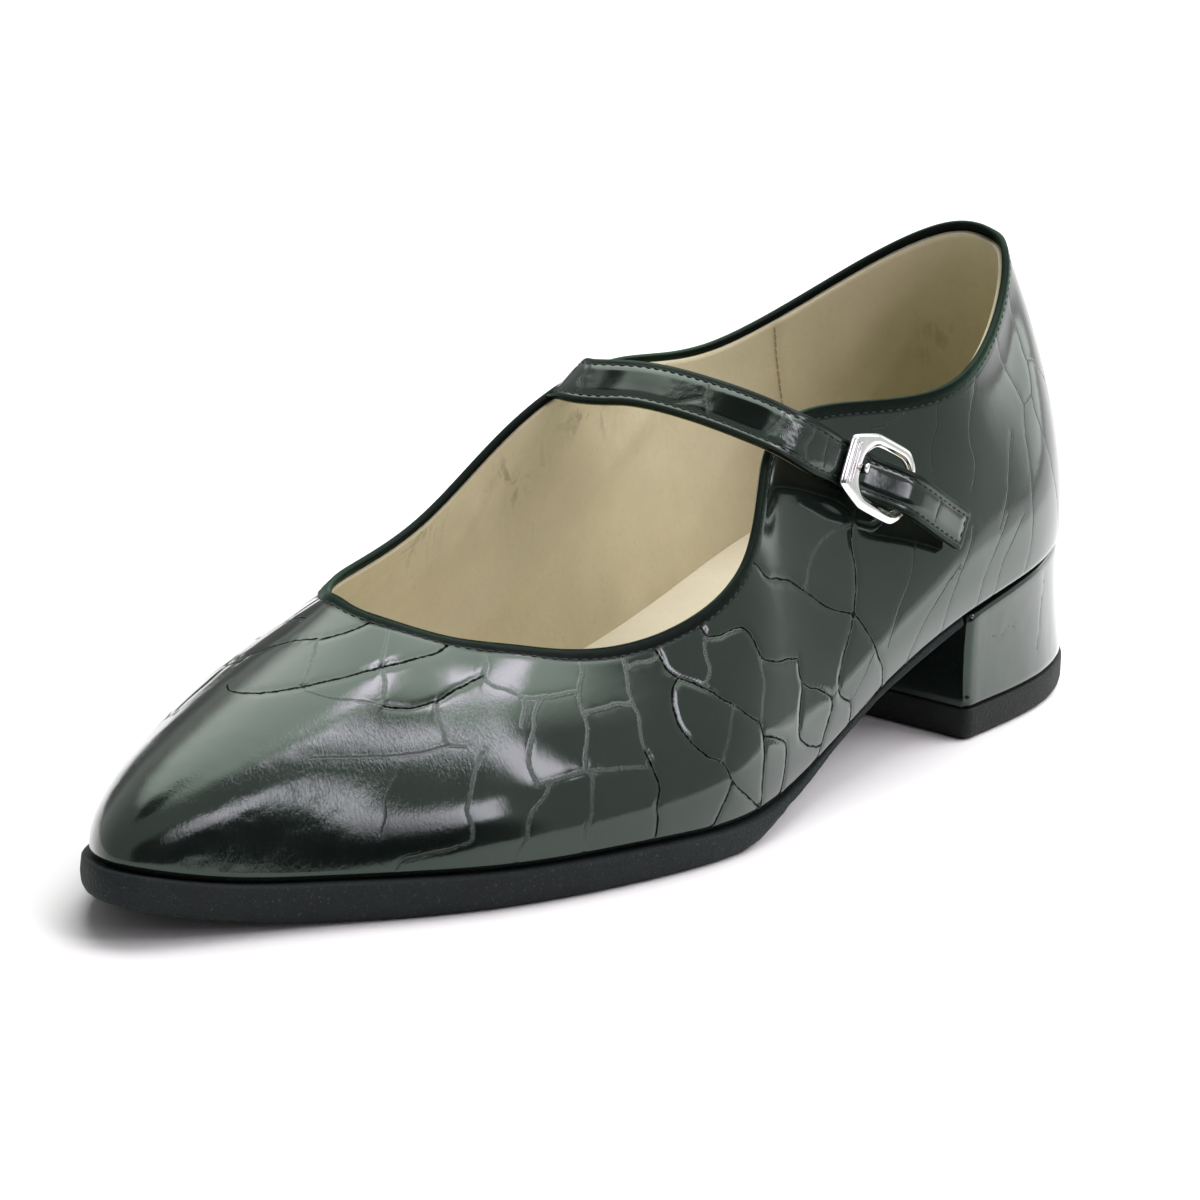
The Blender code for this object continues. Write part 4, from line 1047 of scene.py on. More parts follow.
pts = np.vstack(rings)
faces = quads(n_s, len(rings))
pts, f1 = fill(pts, n_s * (len(rings) - 1), n_s, 0, 34, sock_top)
pts, f2 = fill(pts, 0, n_s, 0, 4, sock_under)
pts = np.array(pts)
edge_mark = np.zeros(len(pts))
sock = piece("insole_sock", pts, faces + f1 + [tuple(reversed(f)) for f in f2], M_SOCK,
             stands_for=["insole"], attrs={"mark": edge_mark})


# ------------------------------------------------------------- sole and heel
def crossing(x, side):
    u = np.linspace(0, 11, 400) if side > 0 else np.linspace(11, 22, 400)
    xs = sole_line(u)[:, 0]
    order = np.argsort(xs)
    return float(np.interp(x, xs[order], u[order]))


TRIM = 2.5


def arc_corner(loop, x_face, r=1.5, steps=9):
    """Square a loop off at x = x_face with round corners."""
    y0, y1 = loop[0, 1], loop[-1, 1]
    s0, s1 = np.sign(y0), np.sign(y1)
    toward = np.sign(loop[len(loop) // 2, 0] - x_face)
    g = np.linspace(0, math.pi / 2, steps)
    a = np.column_stack([x_face + toward * r * (1 - np.cos(g)), y0 - s0 * r * (1 - np.sin(g))])
    b = np.column_stack([x_face + toward * r * (1 - np.cos(g[::-1])), y1 - s1 * r * (1 - np.sin(g[::-1]))])
    return np.vstack([a, loop[1:-1], b])


def resample(loop, n):
    d = np.r_[0, np.cumsum(np.linalg.norm(np.diff(loop, axis=0), axis=1))]
    q = np.linspace(0, d[-1], n)
    return np.column_stack([np.interp(q, d, loop[:, k]) for k in range(loop.shape[1])])


u_fore = np.linspace(crossing(HEEL_BREAST + GAP, 1), crossing(HEEL_BREAST + GAP, -1), 500)
face_x = HEEL_BREAST + GAP + 0.2
N_O = 460


def sole_loop(inset):
    xy = sole_line(u_fore)
    xy = xy + outward(sole_line, u_fore) * (ledge(xy[:, 0]) - inset)[:, None]
    xy = xy[xy[:, 0] > face_x + TRIM]
    xy = np.vstack([[face_x, xy[0, 1]], xy, [face_x, xy[-1, 1]]])
    return resample(arc_corner(xy, face_x), N_O)


wide = sole_loop(0.0)
thick = bed(wide[:, 0]) - GAP - tread(wide[:, 0])
r_edge = np.minimum(EDGE_R, thick * 0.45)
rows = []


def sole_row(inset, from_top=None, from_low=None):
    xy = sole_loop(inset)
    if from_top is not None:
        z = bed(xy[:, 0]) - GAP - np.minimum(from_top, thick * 0.42)
    else:
        z = tread(xy[:, 0]) + r_edge * from_low
    p = np.column_stack([xy, z])
    return p


def rough_side(p, amount=0.07):
    d = xy_out(p)
    return p + d * (amount * soft_noise(p, 0.9, 51) + amount * soft_noise(p, 2.2, 52))[:, None]


def xy_out(p):
    c = np.roll(p[:, :2], -1, 0) - np.roll(p[:, :2], 1, 0)
    n = unit(np.stack([c[:, 1], -c[:, 0]], 1))
    centre = p[:, :2].mean(0)
    sgn = np.sign(((p[:, :2] - centre) * n).sum())
    return np.column_stack([n * sgn, np.zeros(len(p))])


rows = [sole_row(1.6, from_top=0.0), sole_row(0.50, from_top=0.0), sole_row(0.18, from_top=0.12), sole_row(0.0, from_top=0.45),
        sole_row(-0.05, from_top=1.1)]
for q in (0.75, 0.5, 0.25):
    lo_, hi_ = sole_row(0.0, from_low=1.0), sole_row(-0.05, from_top=1.1)
    rows.append(rough_side(lo_ * (1 - q) + hi_ * q + xy_out(lo_) * 0.12 * math.sin(q * math.pi)))
rows += [rough_side(sole_row(0.0, from_low=1.0)), rough_side(sole_row(0.18, from_low=0.62)),
         rough_side(sole_row(0.60, from_low=0.28)), sole_row(1.2, from_low=0.08), sole_row(2.0, from_low=0.0)]
# underside: a shallow channel round the edge and fine cross ribs in the tread
rows += [sole_row(3.2, from_low=0.0)]
chan = sole_row(3.5, from_low=0.0); chan[:, 2] += np.minimum(0.35, thick * 0.2); rows.append(chan)
chan = sole_row(4.5, from_low=0.0); chan[:, 2] += np.minimum(0.35, thick * 0.2); rows.append(chan)
rows.append(sole_row(4.8, from_low=0.0))


def ribs(p, f):
    z = float(tread(p[0]))
    inside = smooth((p[0] - 132) / 6) * (1 - smooth((p[0] - 222) / 8)) * smooth(f / 0.10) * smooth((1 - f) / 0.10)
    bow = p[0] + 6.0 * (2 * f - 1) ** 2
    z += 0.35 * inside * smooth((math.cos(2 * math.pi * bow / 5.0) - 0.25) / 0.5)
    return np.array([p[0], p[1], z])


pts = np.vstack(rows)
faces = quads(N_O, len(rows))
pts, f1 = fill(pts, N_O * (len(rows) - 1), N_O, 1, 18, ribs)
pts, f2 = fill(pts, 0, N_O, 1, 3, None)
sole = piece("outsole_rubber", np.array(pts), faces + f1 + [tuple(reversed(f)) for f in f2], M_SOLE,
             stands_for=["outsole"], sharp=50)

# heel block: covered in the same patent, breast squared off
u_heel = np.linspace(crossing(HEEL_BREAST, -1) - NS, crossing(HEEL_BREAST, 1), 300)
N_H = 300


def heel_loop(offset, x_face, corner=0.0):
    xy = sole_line(u_heel)
    grow = offset + corner * np.clip((xy[:, 0] - 25) / 30, 0, 1)
    xy = xy + outward(sole_line, u_heel) * grow[:, None]
    xy = xy[xy[:, 0] < x_face - TRIM]
    xy = np.vstack([[x_face, xy[0, 1]], xy, [x_face, xy[-1, 1]]])
    return resample(arc_corner(xy, x_face), N_H)


heel_base = TOP_PIECE + GAP
levels = np.array([[0.0, 1.5, 0.0], [0.33, 0.8, 0.3], [0.67, 0.2, 0.6], [1.0, -0.4, 0.9]])
rows = []
for t in np.r_[0.0, 0.012, np.linspace(0.04, 0.95, 26), 0.985, 1.0]:
    off = np.interp(t, levels[:, 0], levels[:, 1]) - 0.30 * math.sin(math.pi * t)
    corner = np.interp(t, levels[:, 0], levels[:, 2])
    tuck = 0.45 * (1 - smooth(t / 0.05)) + 0.35 * smooth((t - 0.97) / 0.03)
    ring = heel_loop(off - tuck, HEEL_BREAST + BREAST_RAKE * (1 - t) - tuck * 0.6, corner)
    z1 = bed(ring[:, 0]) - GAP
    p = np.column_stack([ring, heel_base + (z1 - heel_base) * t])
    d = xy_out(p)
    bump = 0.06 * soft_noise(p, 11.0, 81) + 0.02 * soft_noise(p, 3.0, 82)
    bump = bump * smooth((HEEL_BREAST - 1.5 - p[:, 0]) / 2.0)
    rows.append(p + d * bump[:, None])
H = np.array(rows)
heel_cracks = (("points",),
               ((50.5, 1, 18.5), (47.0, 1, 17.4), (44.0, 1, 19.0), (41.0, 1, 18.2)),
               ((31.0, 1, 12.0), (29.5, 1, 16.0), (28.5, 1, 20.0), (26.5, 1, 25.0)),
               ((44.0, -1, 9.0), (41.0, -1, 15.0), (42.5, -1, 22.0)), ((14.0, -1, 12.0), (11.0, -1, 17.0), (12.0, -1, 25.0)))
flat = H.reshape(-1, 3)
tr_pts = []
for line in heel_cracks[1:]:
    q = []
    for x, side, z in line:
        cand = np.where((np.sign(flat[:, 1] - 1.5) == np.sign(side)) | (abs(side) < 1))[0]
        target = np.array([x, flat[cand][np.argmin(abs(flat[cand, 0] - x) + abs(flat[cand, 2] - z)), 1], z])
        q.append(flat[cand[np.argmin(np.linalg.norm(flat[cand] - target, axis=1))]])
    q = np.array(q)
    for a, b in zip(q[:-1], q[1:]):
        tr_pts += [a + (b - a) * s for s in np.linspace(0, 1, 24)]
tr = kdtree.KDTree(len(tr_pts))
for i, p in enumerate(tr_pts):
    p = p + np.array([soft_noise(p, 2.5, 3), soft_noise(p, 2.5, 4), soft_noise(p, 2.5, 5)]) * 0.5
    tr.insert(Vector(p), i)
tr.balance()
found = [tr.find(Vector(p)) for p in flat]
d_h = np.array([q[2] for q in found])
way_h = flat - np.array([q[0] for q in found])
near_h = np.clip(1 - d_h / 3.0, 0, 1)
dirs = np.vstack([xy_out(r) for r in H])
flat = flat - dirs * (0.05 * np.exp(-(d_h / 0.55) ** 2) + 0.02 * np.exp(-d_h / 1.2))[:, None]
faces = quads(N_H, len(rows))
pts, f1 = fill(flat, N_H * (len(rows) - 1), N_H, 1, 4, None)
pts, f2 = fill(pts, 0, N_H, 1, 4, None)
extra = len(pts) - len(flat)
heel = piece("heel_cover", np.array(pts), faces + f1 + [tuple(reversed(f)) for f in f2], M_HEEL,
             stands_for=["heel_block"], sharp=60,
             attrs={"near": np.r_[near_h, np.zeros(extra)], "dark": np.r_[np.full(len(flat), 0.35), np.zeros(extra)],
                    "crinkle": np.r_[np.full(len(flat), 0.3), np.zeros(extra)], "to_line": np.vstack([way_h, np.full((extra, 3), 9.0)]),
                    "edge": np.zeros(len(pts)), "hairy": np.full(len(pts), 0.08)})

face = HEEL_BREAST + BREAST_RAKE
rows = []
for off, fx, z in ((0.5, face - 1.0, 0.0), (0.8, face - 0.7, 0.08), (1.25, face - 0.25, 0.35), (1.6, face, 0.85), (1.8, face + 0.1, 1.6),
                   (1.82, face + 0.12, 2.4), (1.84, face + 0.12, 3.3), (1.84, face + 0.12, 4.2), (1.80, face + 0.1, 5.0),
                   (1.78, face + 0.08, 5.55), (1.65, face, 5.85), (1.35, face - 0.2, 6.0), (0.2, face - 1.2, 6.0)):
    ring = heel_loop(off, fx)
    p = np.column_stack([ring, np.full(len(ring), z)])
    if 0.5 < z < 5.7:
        p = p + xy_out(p) * (0.03 * soft_noise(p, 0.9, 91) + 0.03 * soft_noise(p, 3.0, 92))[:, None]
    rows.append(p)


def lift_tread(p, f):
    z = 0.0
    edge = smooth(f / 0.14) * smooth((1 - f) / 0.14) * smooth((p[0] - 8) / 4) * smooth((face - 5 - p[0]) / 2)
    z += 0.4 * edge * smooth((math.cos(2 * math.pi * (p[0] + p[1]) / 5.5) - 0.2) / 0.5) * smooth((math.cos(2 * math.pi * (p[0] - p[1]) / 5.5) + 0.9) / 0.4)
    return np.array([p[0], p[1], z])


faces = quads(N_H, len(rows))
pts, f1 = fill(np.vstack(rows), 0, N_H, 1, 40, lift_tread)
pts, f2 = fill(pts, N_H * (len(rows) - 1), N_H, 1, 4, None)
top_piece = piece("heel_top_piece_rubber", np.array(pts), faces + f2 + [tuple(reversed(f)) for f in f1], M_TOPP,
                  stands_for=["heel_top_piece"], sharp=55)

# -------------------------------------------------------------------- strap
B = np.array(BUCKLE_AT)
T_DIR = unit(TAIL_DIR)
W_DIR = unit(np.array(WIDTH_DIR) - T_DIR * np.dot(WIDTH_DIR, T_DIR))
N_DIR = np.cross(W_DIR, T_DIR)


def on_buckle(along, across, off):
    return B + T_DIR * along + W_DIR * across + N_DIR * off


tail = table(STRAP_LIFT)
nodes = [(*row, STRAP_W / 2) for row in STRAP]
nodes += [(*on_buckle(a, b, c), *W_DIR, h) for a, b, c, h in tail]
nodes = np.array(nodes, float)
run = np.r_[0, np.cumsum(np.linalg.norm(np.diff(nodes[:, :3], axis=0), axis=1))]
path = [natural(run, nodes[:, k]) for k in range(7)]
L_STRAP = run[-1]


def strap_frame(s):
    c = np.column_stack([path[k](s) for k in range(3)])
    e = 0.05
    t = unit(np.column_stack([path[k](np.clip(s + e, 0, L_STRAP)) - path[k](np.clip(s - e, 0, L_STRAP)) for k in range(3)]))
    w = np.column_stack([path[k](s) for k in range(3, 6)])
    w = unit(w - t * (w * t).sum(1)[:, None])
    n = unit(np.cross(w, t))
    half = path[6](s)
    thick = np.interp(s, (0, 7, 9), (STRAP_T * 0.6, STRAP_T * 0.6, STRAP_T)) / 2
    # square tail end with small round corners
    r = 1.1
    left = L_STRAP - s
    half = half - np.where(left < r, r - np.sqrt(np.maximum(r * r - (r - left) ** 2, 0)), 0)
    return c, t, w, n, half, thick


s_rows = np.r_[np.linspace(2.4, L_STRAP - 1.5, 300), L_STRAP - np.array([1.1, 0.8, 0.55, 0.35, 0.18, 0.06, 0.0])]
c, t, w, n, half, thick = strap_frame(s_rows)
A_TOP = np.r_[-0.985, -0.955, np.linspace(-0.90, 0.90, 35), 0.955, 0.985]
side_hs = (0.72, 0.35, -0.05, -0.32)
section = [(-1.0 + 0.012 * (1 - abs(b)), b, 0) for b in reversed(side_hs)] + [(a, 1.0, 1) for a in A_TOP] \
    + [(1.0 - 0.012 * (1 - abs(b)), b, 0) for b in side_hs] + [(0.93, -0.36, 0), (0.4, -0.36, 0), (-0.4, -0.36, 0), (-0.93, -0.36, 0)]
sec = np.array(section)
# folds across the strap, charted: kind, then (along, across) in mm
STRAP_LINES = (("kind", "points"),
               ("fold", (11.0, -4.0), (12.2, -1.8), (11.4, 0.2), (13.0, 2.0), (12.2, 4.0)),
               ("fold", (35.4, -4.0), (36.3, -0.5), (37.8, 1.5), (39.2, 4.0)),
               ("fold", (31.0, 3.6), (33.5, 1.9), (36.2, 0.1)),
               ("fold", (50.9, -4.0), (51.4, -1.0), (50.4, 2.0), (49.4, 4.0)),
               ("fold", (57.8, -4.0), (57.2, -1.2), (56.4, 1.1), (57.8, 4.0)),
               ("faint", (61.8, -4.0), (61.0, -0.3), (62.4, 4.0)),
               ("faint", (89.6, -3.3), (89.2, -0.4), (90.0, 3.3)))
STRAP_CREASED = (("at", "reach", "strong"),
                 (12.0, 2.8, 0.8), (33.5, 4.4, 1.0), (53.5, 3.8, 1.0), (60.5, 3.0, 0.6), (76.0, 4.0, 0.5))
SA = s_rows[:, None] + 0 * sec[None, :, 0]
SB = half[:, None] * sec[None, :, 0]
q_line, q_kind = [], []
for row in STRAP_LINES[1:]:
    q = eased(row[1:], 2)
    rl = np.r_[0, np.cumsum(np.linalg.norm(np.diff(q, axis=0), axis=1))]
    ss = np.linspace(0, rl[-1], max(4, int(rl[-1] / 0.2)))
    q = np.column_stack([np.interp(ss, rl, q[:, 0]), np.interp(ss, rl, q[:, 1]), 0 * ss])
    q[:, 0] += 0.22 * soft_noise(q, 1.3, 37)
    q_line.append(q)
    q_kind += [row[0]] * len(q)
q_line = np.vstack(q_line)
tr = kdtree.KDTree(len(q_line))
for i, p in enumerate(q_line):
    tr.insert(Vector(p), i)
tr.balance()
grid = np.stack([SA, SB, 0 * SA], -1).reshape(-1, 3)
found = [tr.find(Vector(p)) for p in grid]
d_s = np.array([q[2] for q in found]).reshape(SA.shape)
code_s = np.array([kinds.index(q_kind[q[1]]) for q in found]).reshape(SA.shape)
way_s = grid - np.array([q[0] for q in found])
on_top = sec[None, :, 2] + 0 * SA
deep_s = np.array([0.16, 0.10, 0.05])[code_s]
creased = np.zeros(SA.shape)
for at_, reach, strong in table(STRAP_CREASED):
    creased = np.maximum(creased, strong * np.exp(-((SA - at_) / reach) ** 2))
from_edge = half[:, None] - np.abs(SB)
from_end = (L_STRAP - s_rows)[:, None]
emb = -deep_s * (np.exp(-(d_s / 0.45) ** 2) + 0.5 * np.exp(-d_s / 1.6)) * smooth((from_edge - 1.5) / 0.5) * smooth((from_end - 1.4) / 0.5)
emb += 0.035 * soft_noise(grid.reshape(*SA.shape, 3), 1.1, 38) * creased * smooth((from_edge - 1.3) / 0.5)
STITCH_IN = 1.30
sew = -0.13 * np.exp(-((from_edge - STITCH_IN) / 0.30) ** 2) * smooth((from_end - 1.0) / 0.4) \
    - 0.13 * np.exp(-((from_end - STITCH_IN) / 0.30) ** 2) * smooth((from_edge - 1.0) / 0.4)
crown = 0.16 * smooth((from_edge - 1.3) / 1.4) * smooth((from_end - 1.3) / 1.6) - 0.10 * (1 - smooth(from_edge / 0.7)) - 0.10 * (1 - smooth(from_end / 0.7))
lump = 0.05 * soft_noise(np.stack([SA, SB, 0 * SA], -1), 5.0, 41)
rise_ = on_top * (emb + sew + crown + lump)
body = c[:, None, :] + w[:, None, :] * SB[..., None] + n[:, None, :] * (thick[:, None] * sec[None, :, 1] * 0.93 + rise_)[..., None]
k_ = body.shape[1]
pts = body.reshape(-1, 3)
pts = np.vstack([pts, body[0].mean(0)[None], body[-1].mean(0)[None]])
faces = quads(k_, len(s_rows))
a0, a1 = len(pts) - 2, len(pts) - 1
lr = k_ * (len(s_rows) - 1)
faces += [(i, (i + 1) % k_, a0) for i in range(k_)] + [(lr + (i + 1) % k_, lr + i, a1) for i in range(k_)]
inside_s = on_top * smooth((from_edge - 1.4) / 0.5) * smooth((from_end - 1.3) / 0.4)
near_s = np.clip(1 - d_s / 3.0, 0, 1) * inside_s
rim_s = np.where(on_top > 0.5, 0.75 * (1 - smooth((np.minimum(from_edge, from_end) - 0.55) / 0.45)), 1.0)
strap = piece("strap_patent", pts, faces, M_STRAP, stands_for=["strap"],
              attrs={"near": np.r_[near_s.ravel(), 0, 0], "dark": np.r_[np.array([1.0, 0.25, 0.5])[code_s].ravel(), 0, 0],
                     "crinkle": np.r_[np.array([0.5, 1.0, 0.3])[code_s].ravel(), 0, 0],
                     "to_line": np.vstack([way_s, np.full((2, 3), 9.0)]), "edge": np.r_[rim_s.ravel(), 1, 1],
                     "hairy": np.r_[(creased * inside_s + 0.10).ravel(), 0, 0]})
# underside lining of the strap, which starts past the topline
UNDER_FROM = 9.0
s2 = np.r_[np.linspace(UNDER_FROM, L_STRAP - 1.6, 150), L_STRAP - np.array([1.2, 0.9, 0.6, 0.42, 0.32])]
c2, t2, w2, n2, h2, k2 = strap_frame(s2)
h2 = h2 - 0.20
under = ((-0.99, -0.42), (-0.6, -0.41), (0.0, -0.41), (0.6, -0.41), (0.99, -0.42), (1.0, -0.62), (0.99, -0.85), (0.95, -0.97), (0.6, -1.0), (0.3, -1.0),
         (0.0, -1.0), (-0.3, -1.0), (-0.6, -1.0), (-0.95, -0.97), (-0.99, -0.85), (-1.0, -0.62))
und = np.array(under)
body2 = c2[:, None, :] + w2[:, None, :] * (h2[:, None] * und[None, :, 0])[..., None] \
    + n2[:, None, :] * (k2[:, None] * und[None, :, 1])[..., None]
body2 = body2 + n2[:, None, :] * (0.03 * soft_noise(body2, 3.0, 43) * (und[None, :, 1] < -0.8))[..., None]
k_ = body2.shape[1]
pts = np.vstack([body2.reshape(-1, 3), body2[0].mean(0)[None], body2[-1].mean(0)[None]])
faces = quads(k_, len(s2))
a0, a1 = len(pts) - 2, len(pts) - 1
lr = k_ * (len(s2) - 1)
faces += [(i, (i + 1) % k_, a0) for i in range(k_)] + [(lr + (i + 1) % k_, lr + i, a1) for i in range(k_)]
strap_lining = piece("strap_lining", pts, faces, M_TAN, attrs={"mark": np.zeros(len(pts))})
# its two rows of stitches and the row across the tail
s3 = np.linspace(6.0, L_STRAP - STITCH_IN, 400)
c3, t3, w3, n3, h3, k3 = strap_frame(s3)
lines = []
for sgn in (-1, 1):
    hh = path[6](s3)
    lines.append((c3 + w3 * (sgn * (hh - STITCH_IN))[:, None] + n3 * (k3 * 0.93 - 0.10)[:, None], n3))
ends = [q[0][-1] for q in lines]
lines.append((np.array([ends[0] + (ends[1] - ends[0]) * q for q in np.linspace(0.08, 0.92, 30)]), np.repeat(n3[-1:], 30, 0)))
v_s, f_s = stitches(lines, 1.7, 1.22, 0.14)
strap_thread = piece("strap_stitches", v_s, f_s, M_THREAD)


# ------------------------------------------------------------------- buckle
def rounded(points, cuts=3):
    """Closed line with its corners eased by cutting them."""
    q = np.asarray(points, float)
    for _ in range(cuts):
        nx = np.roll(q, -1, 0)
        q = np.stack([q * 0.8 + nx * 0.2, q * 0.2 + nx * 0.8], 1).reshape(-1, 2)
    return q


def both_sides(rows):
    half_line = table(rows)
    other = half_line[-2:0:-1] * (1, -1)
    return np.vstack([half_line, other])


outer_l, inner_l = both_sides(OUTLINE), both_sides(WINDOW)
o_f, i_f = rounded(outer_l), rounded(inner_l)
ring_v, inlay_v = [], []
for o, i in zip(o_f, i_f):
    pivot = 1 - smooth((abs(o[1]) - 3.1) / 0.5) if o[0] > 0 else 0.0
    tt = FRAME_T + (PIVOT_T - FRAME_T) * pivot
    prof = []
    steps = np.r_[0.0, 0.02, 0.06, 0.13, 0.22, np.linspace(0.28, 0.86, 24), 0.92, 0.97, 1.0]
    for f in steps:
        p = o * (1 - f) + i * f
        edge = min(f, 1 - f) * np.linalg.norm(o - i)
        hgt = 0.5 - 0.30 * (1 - smooth(edge / 0.75)) - 0.06 * (1 - smooth(edge / 1.6))
        cut = 0.0
        if o[0] < 0 and abs(p[1]) < 3.95:
            for g in (-7.25, -6.55):
                cut += math.exp(-((p[0] - g) / 0.11) ** 2) * float(smooth((3.95 - abs(p[1])) / 0.25))
        inlay_v.append(min(cut, 1.0))
        prof.append(on_buckle(p[0], p[1], tt * hgt - 0.12 * cut))
    for f in steps[::-1][::3]:
        p = o * (1 - f) + i * f
        edge = min(f, 1 - f) * np.linalg.norm(o - i)
        inlay_v.append(0.0)
        prof.append(on_buckle(p[0], p[1], -tt * (0.5 - 0.28 * (1 - smooth(edge / 0.6)))))
    ring_v.append(np.array(prof))
k_ = len(ring_v[0])
pts = np.vstack(ring_v)
frame_piece = piece("buckle_frame_silver", pts, quads(k_, len(ring_v), True, True), M_SILVER,
                    stands_for=["buckle_frame"], attrs={"inlay": np.array(inlay_v)})

bar_r = PIVOT_T * 0.6
MID = 0.15
eye = bar_r + GAP + PRONG_T / 2
prong_line = [(PIVOT_X + eye * np.cos(np.radians(a)), eye * np.sin(np.radians(a))) for a in range(-80, 131, 30)]
prong_line += [(5.9, 0.35), (4.6, -0.75), (2.7, -1.60), (0.4, -2.80), (-1.5, -3.65), (-2.7, -3.70),
               (-3.4, -3.10), (-3.60, -1.8), (-3.60, 0.50), (-3.85, 1.25), (-4.5, 1.65), (-5.1, 1.70)]
pp = np.array(prong_line, float)
rn = np.r_[0, np.cumsum(np.linalg.norm(np.diff(pp, axis=0), axis=1))]
# the line's corners stay where CAD has them: straight runs, eased a little
s = np.linspace(0, rn[-1], 150)
pa = np.column_stack([np.interp(s, rn, pp[:, k]) for k in (0, 1)])
for _ in range(6):
    pa[1:-1] = pa[1:-1] * 0.5 + (pa[:-2] + pa[2:]) * 0.25
ctr = np.array([on_buckle(a, MID, b) for a, b in pa])
tn = unit(np.gradient(ctr, axis=0))
left = rn[-1] - s
taper = np.where(left < 0.95, np.sqrt(np.clip(1 - ((0.95 - left) / 0.95) ** 2, 0.02, 1)), 1.0) * np.where(s < 0.4, 0.85, 1)
rg = []
for p, tt, q in zip(ctr, tn, taper):
    ww = unit(W_DIR - tt * np.dot(W_DIR, tt))
    nn = np.cross(ww, tt)
    g = np.linspace(0, 2 * math.pi, 20, endpoint=False)
    ca, sa = np.cos(g), np.sin(g)
    rg.append(p + np.outer(np.sign(ca) * np.abs(ca) ** 0.75 * PRONG_W / 2 * q, ww) + np.outer(np.sign(sa) * np.abs(sa) ** 0.75 * PRONG_T / 2 * (0.4 + 0.6 * q), nn))
pts = np.vstack(rg + [rg[0].mean(0)[None], rg[-1].mean(0)[None]])
faces = quads(20, len(rg))
a0, a1 = len(pts) - 2, len(pts) - 1
lr = 20 * (len(rg) - 1)
faces += [(i, (i + 1) % 20, a0) for i in range(20)] + [(lr + (i + 1) % 20, lr + i, a1) for i in range(20)]
prong = piece("buckle_prong_silver", pts, faces, M_PRONG, stands_for=["buckle_prong"])

# tab of patent under the buckle, curled round the pivot bar
curl = bar_r + GAP + TAB_T / 2
loop_pts = [on_buckle(PIVOT_X + curl * np.cos(np.radians(a)), MID, curl * np.sin(np.radians(a))) for a in range(-100, 131, 23)]
route = table(TAB_ROUTE)
on_wall = skin(route[:, 0], route[:, 1]) + skin_normal(route[:, 0], route[:, 1]) * route[:, 2:3]
tab_nodes = np.vstack([on_wall, loop_pts])
run_t = np.r_[0, np.cumsum(np.linalg.norm(np.diff(tab_nodes, axis=0), axis=1))]
tab_path = [natural(run_t, tab_nodes[:, k]) for k in range(3)]
bend = run_t[len(on_wall) - 1]
st = np.r_[np.linspace(0, bend, 70)[:-1], np.linspace(bend, run_t[-1], 60)]
c_tab = np.column_stack([f(st) for f in tab_path])
hug = np.array([skin_normal([np.interp(q, run_t[:len(route)], route[:, 0])], [np.interp(q, run_t[:len(route)], route[:, 1])])[0] for q in st])
tg = unit(np.gradient(c_tab, axis=0))
side = np.cross(tg, hug)
side *= np.sign(side @ W_DIR)[:, None]
mix = np.clip((st - bend * 0.8) / (bend * 0.2 + 2), 0, 1)[:, None]
side = unit(unit(side) * (1 - mix) + W_DIR * mix)
SLOT_FROM = 4.9
halves = []
g_sec = [(-1.0, 0.25), (-0.985, 0.7), (-0.94, 0.97)] + [(a, 1.0) for a in np.linspace(-0.85, 0.85, 19)] + [(0.94, 0.97), (0.985, 0.7), (1.0, 0.25)]
g_sec += [(1.0, -0.25), (0.985, -0.7), (0.94, -0.97)] + [(a, -1.0) for a in np.linspace(0.85, -0.85, 19)] + [(-0.94, -0.97), (-0.985, -0.7), (-1.0, -0.25)]
gs = np.array(g_sec)


def tab_strip(name, lo, hi, keep):
    """A strip of the tab between two shares of its width (-1 to 1)."""
    rows = []
    for q, p, tt, sd in zip(st[keep], c_tab[keep], tg[keep], side[keep]):
        sd = unit(sd - tt * np.dot(sd, tt))
        nn = np.cross(sd, tt)
        if np.dot(nn, N_DIR) < 0 and q < bend:
            nn = -nn
        wd = np.interp(q, (0, bend * 0.75, bend + 2.5), (TAB_W, TAB_W, TAB_END_W)) / 2
        a, b = lo * wd, hi * wd
        x = (a + b) / 2 + (b - a) / 2 * gs[:, 0]
        em = 0.05 * soft_noise(p + np.outer(x, sd), 2.2, 63) * (np.abs(gs[:, 1]) > 0.9)
        rows.append(p + np.outer(x, sd) + np.outer(gs[:, 1] * TAB_T / 2 + em * np.sign(gs[:, 1]), nn))
    k = len(gs)
    pts = np.vstack(rows + [rows[0].mean(0)[None], rows[-1].mean(0)[None]])
    faces = quads(k, len(rows))
    a0, a1 = len(pts) - 2, len(pts) - 1
    lr = k * (len(rows) - 1)
    faces += [(i, (i + 1) % k, a0) for i in range(k)] + [(lr + (i + 1) % k, lr + i, a1) for i in range(k)]
    return pts, faces


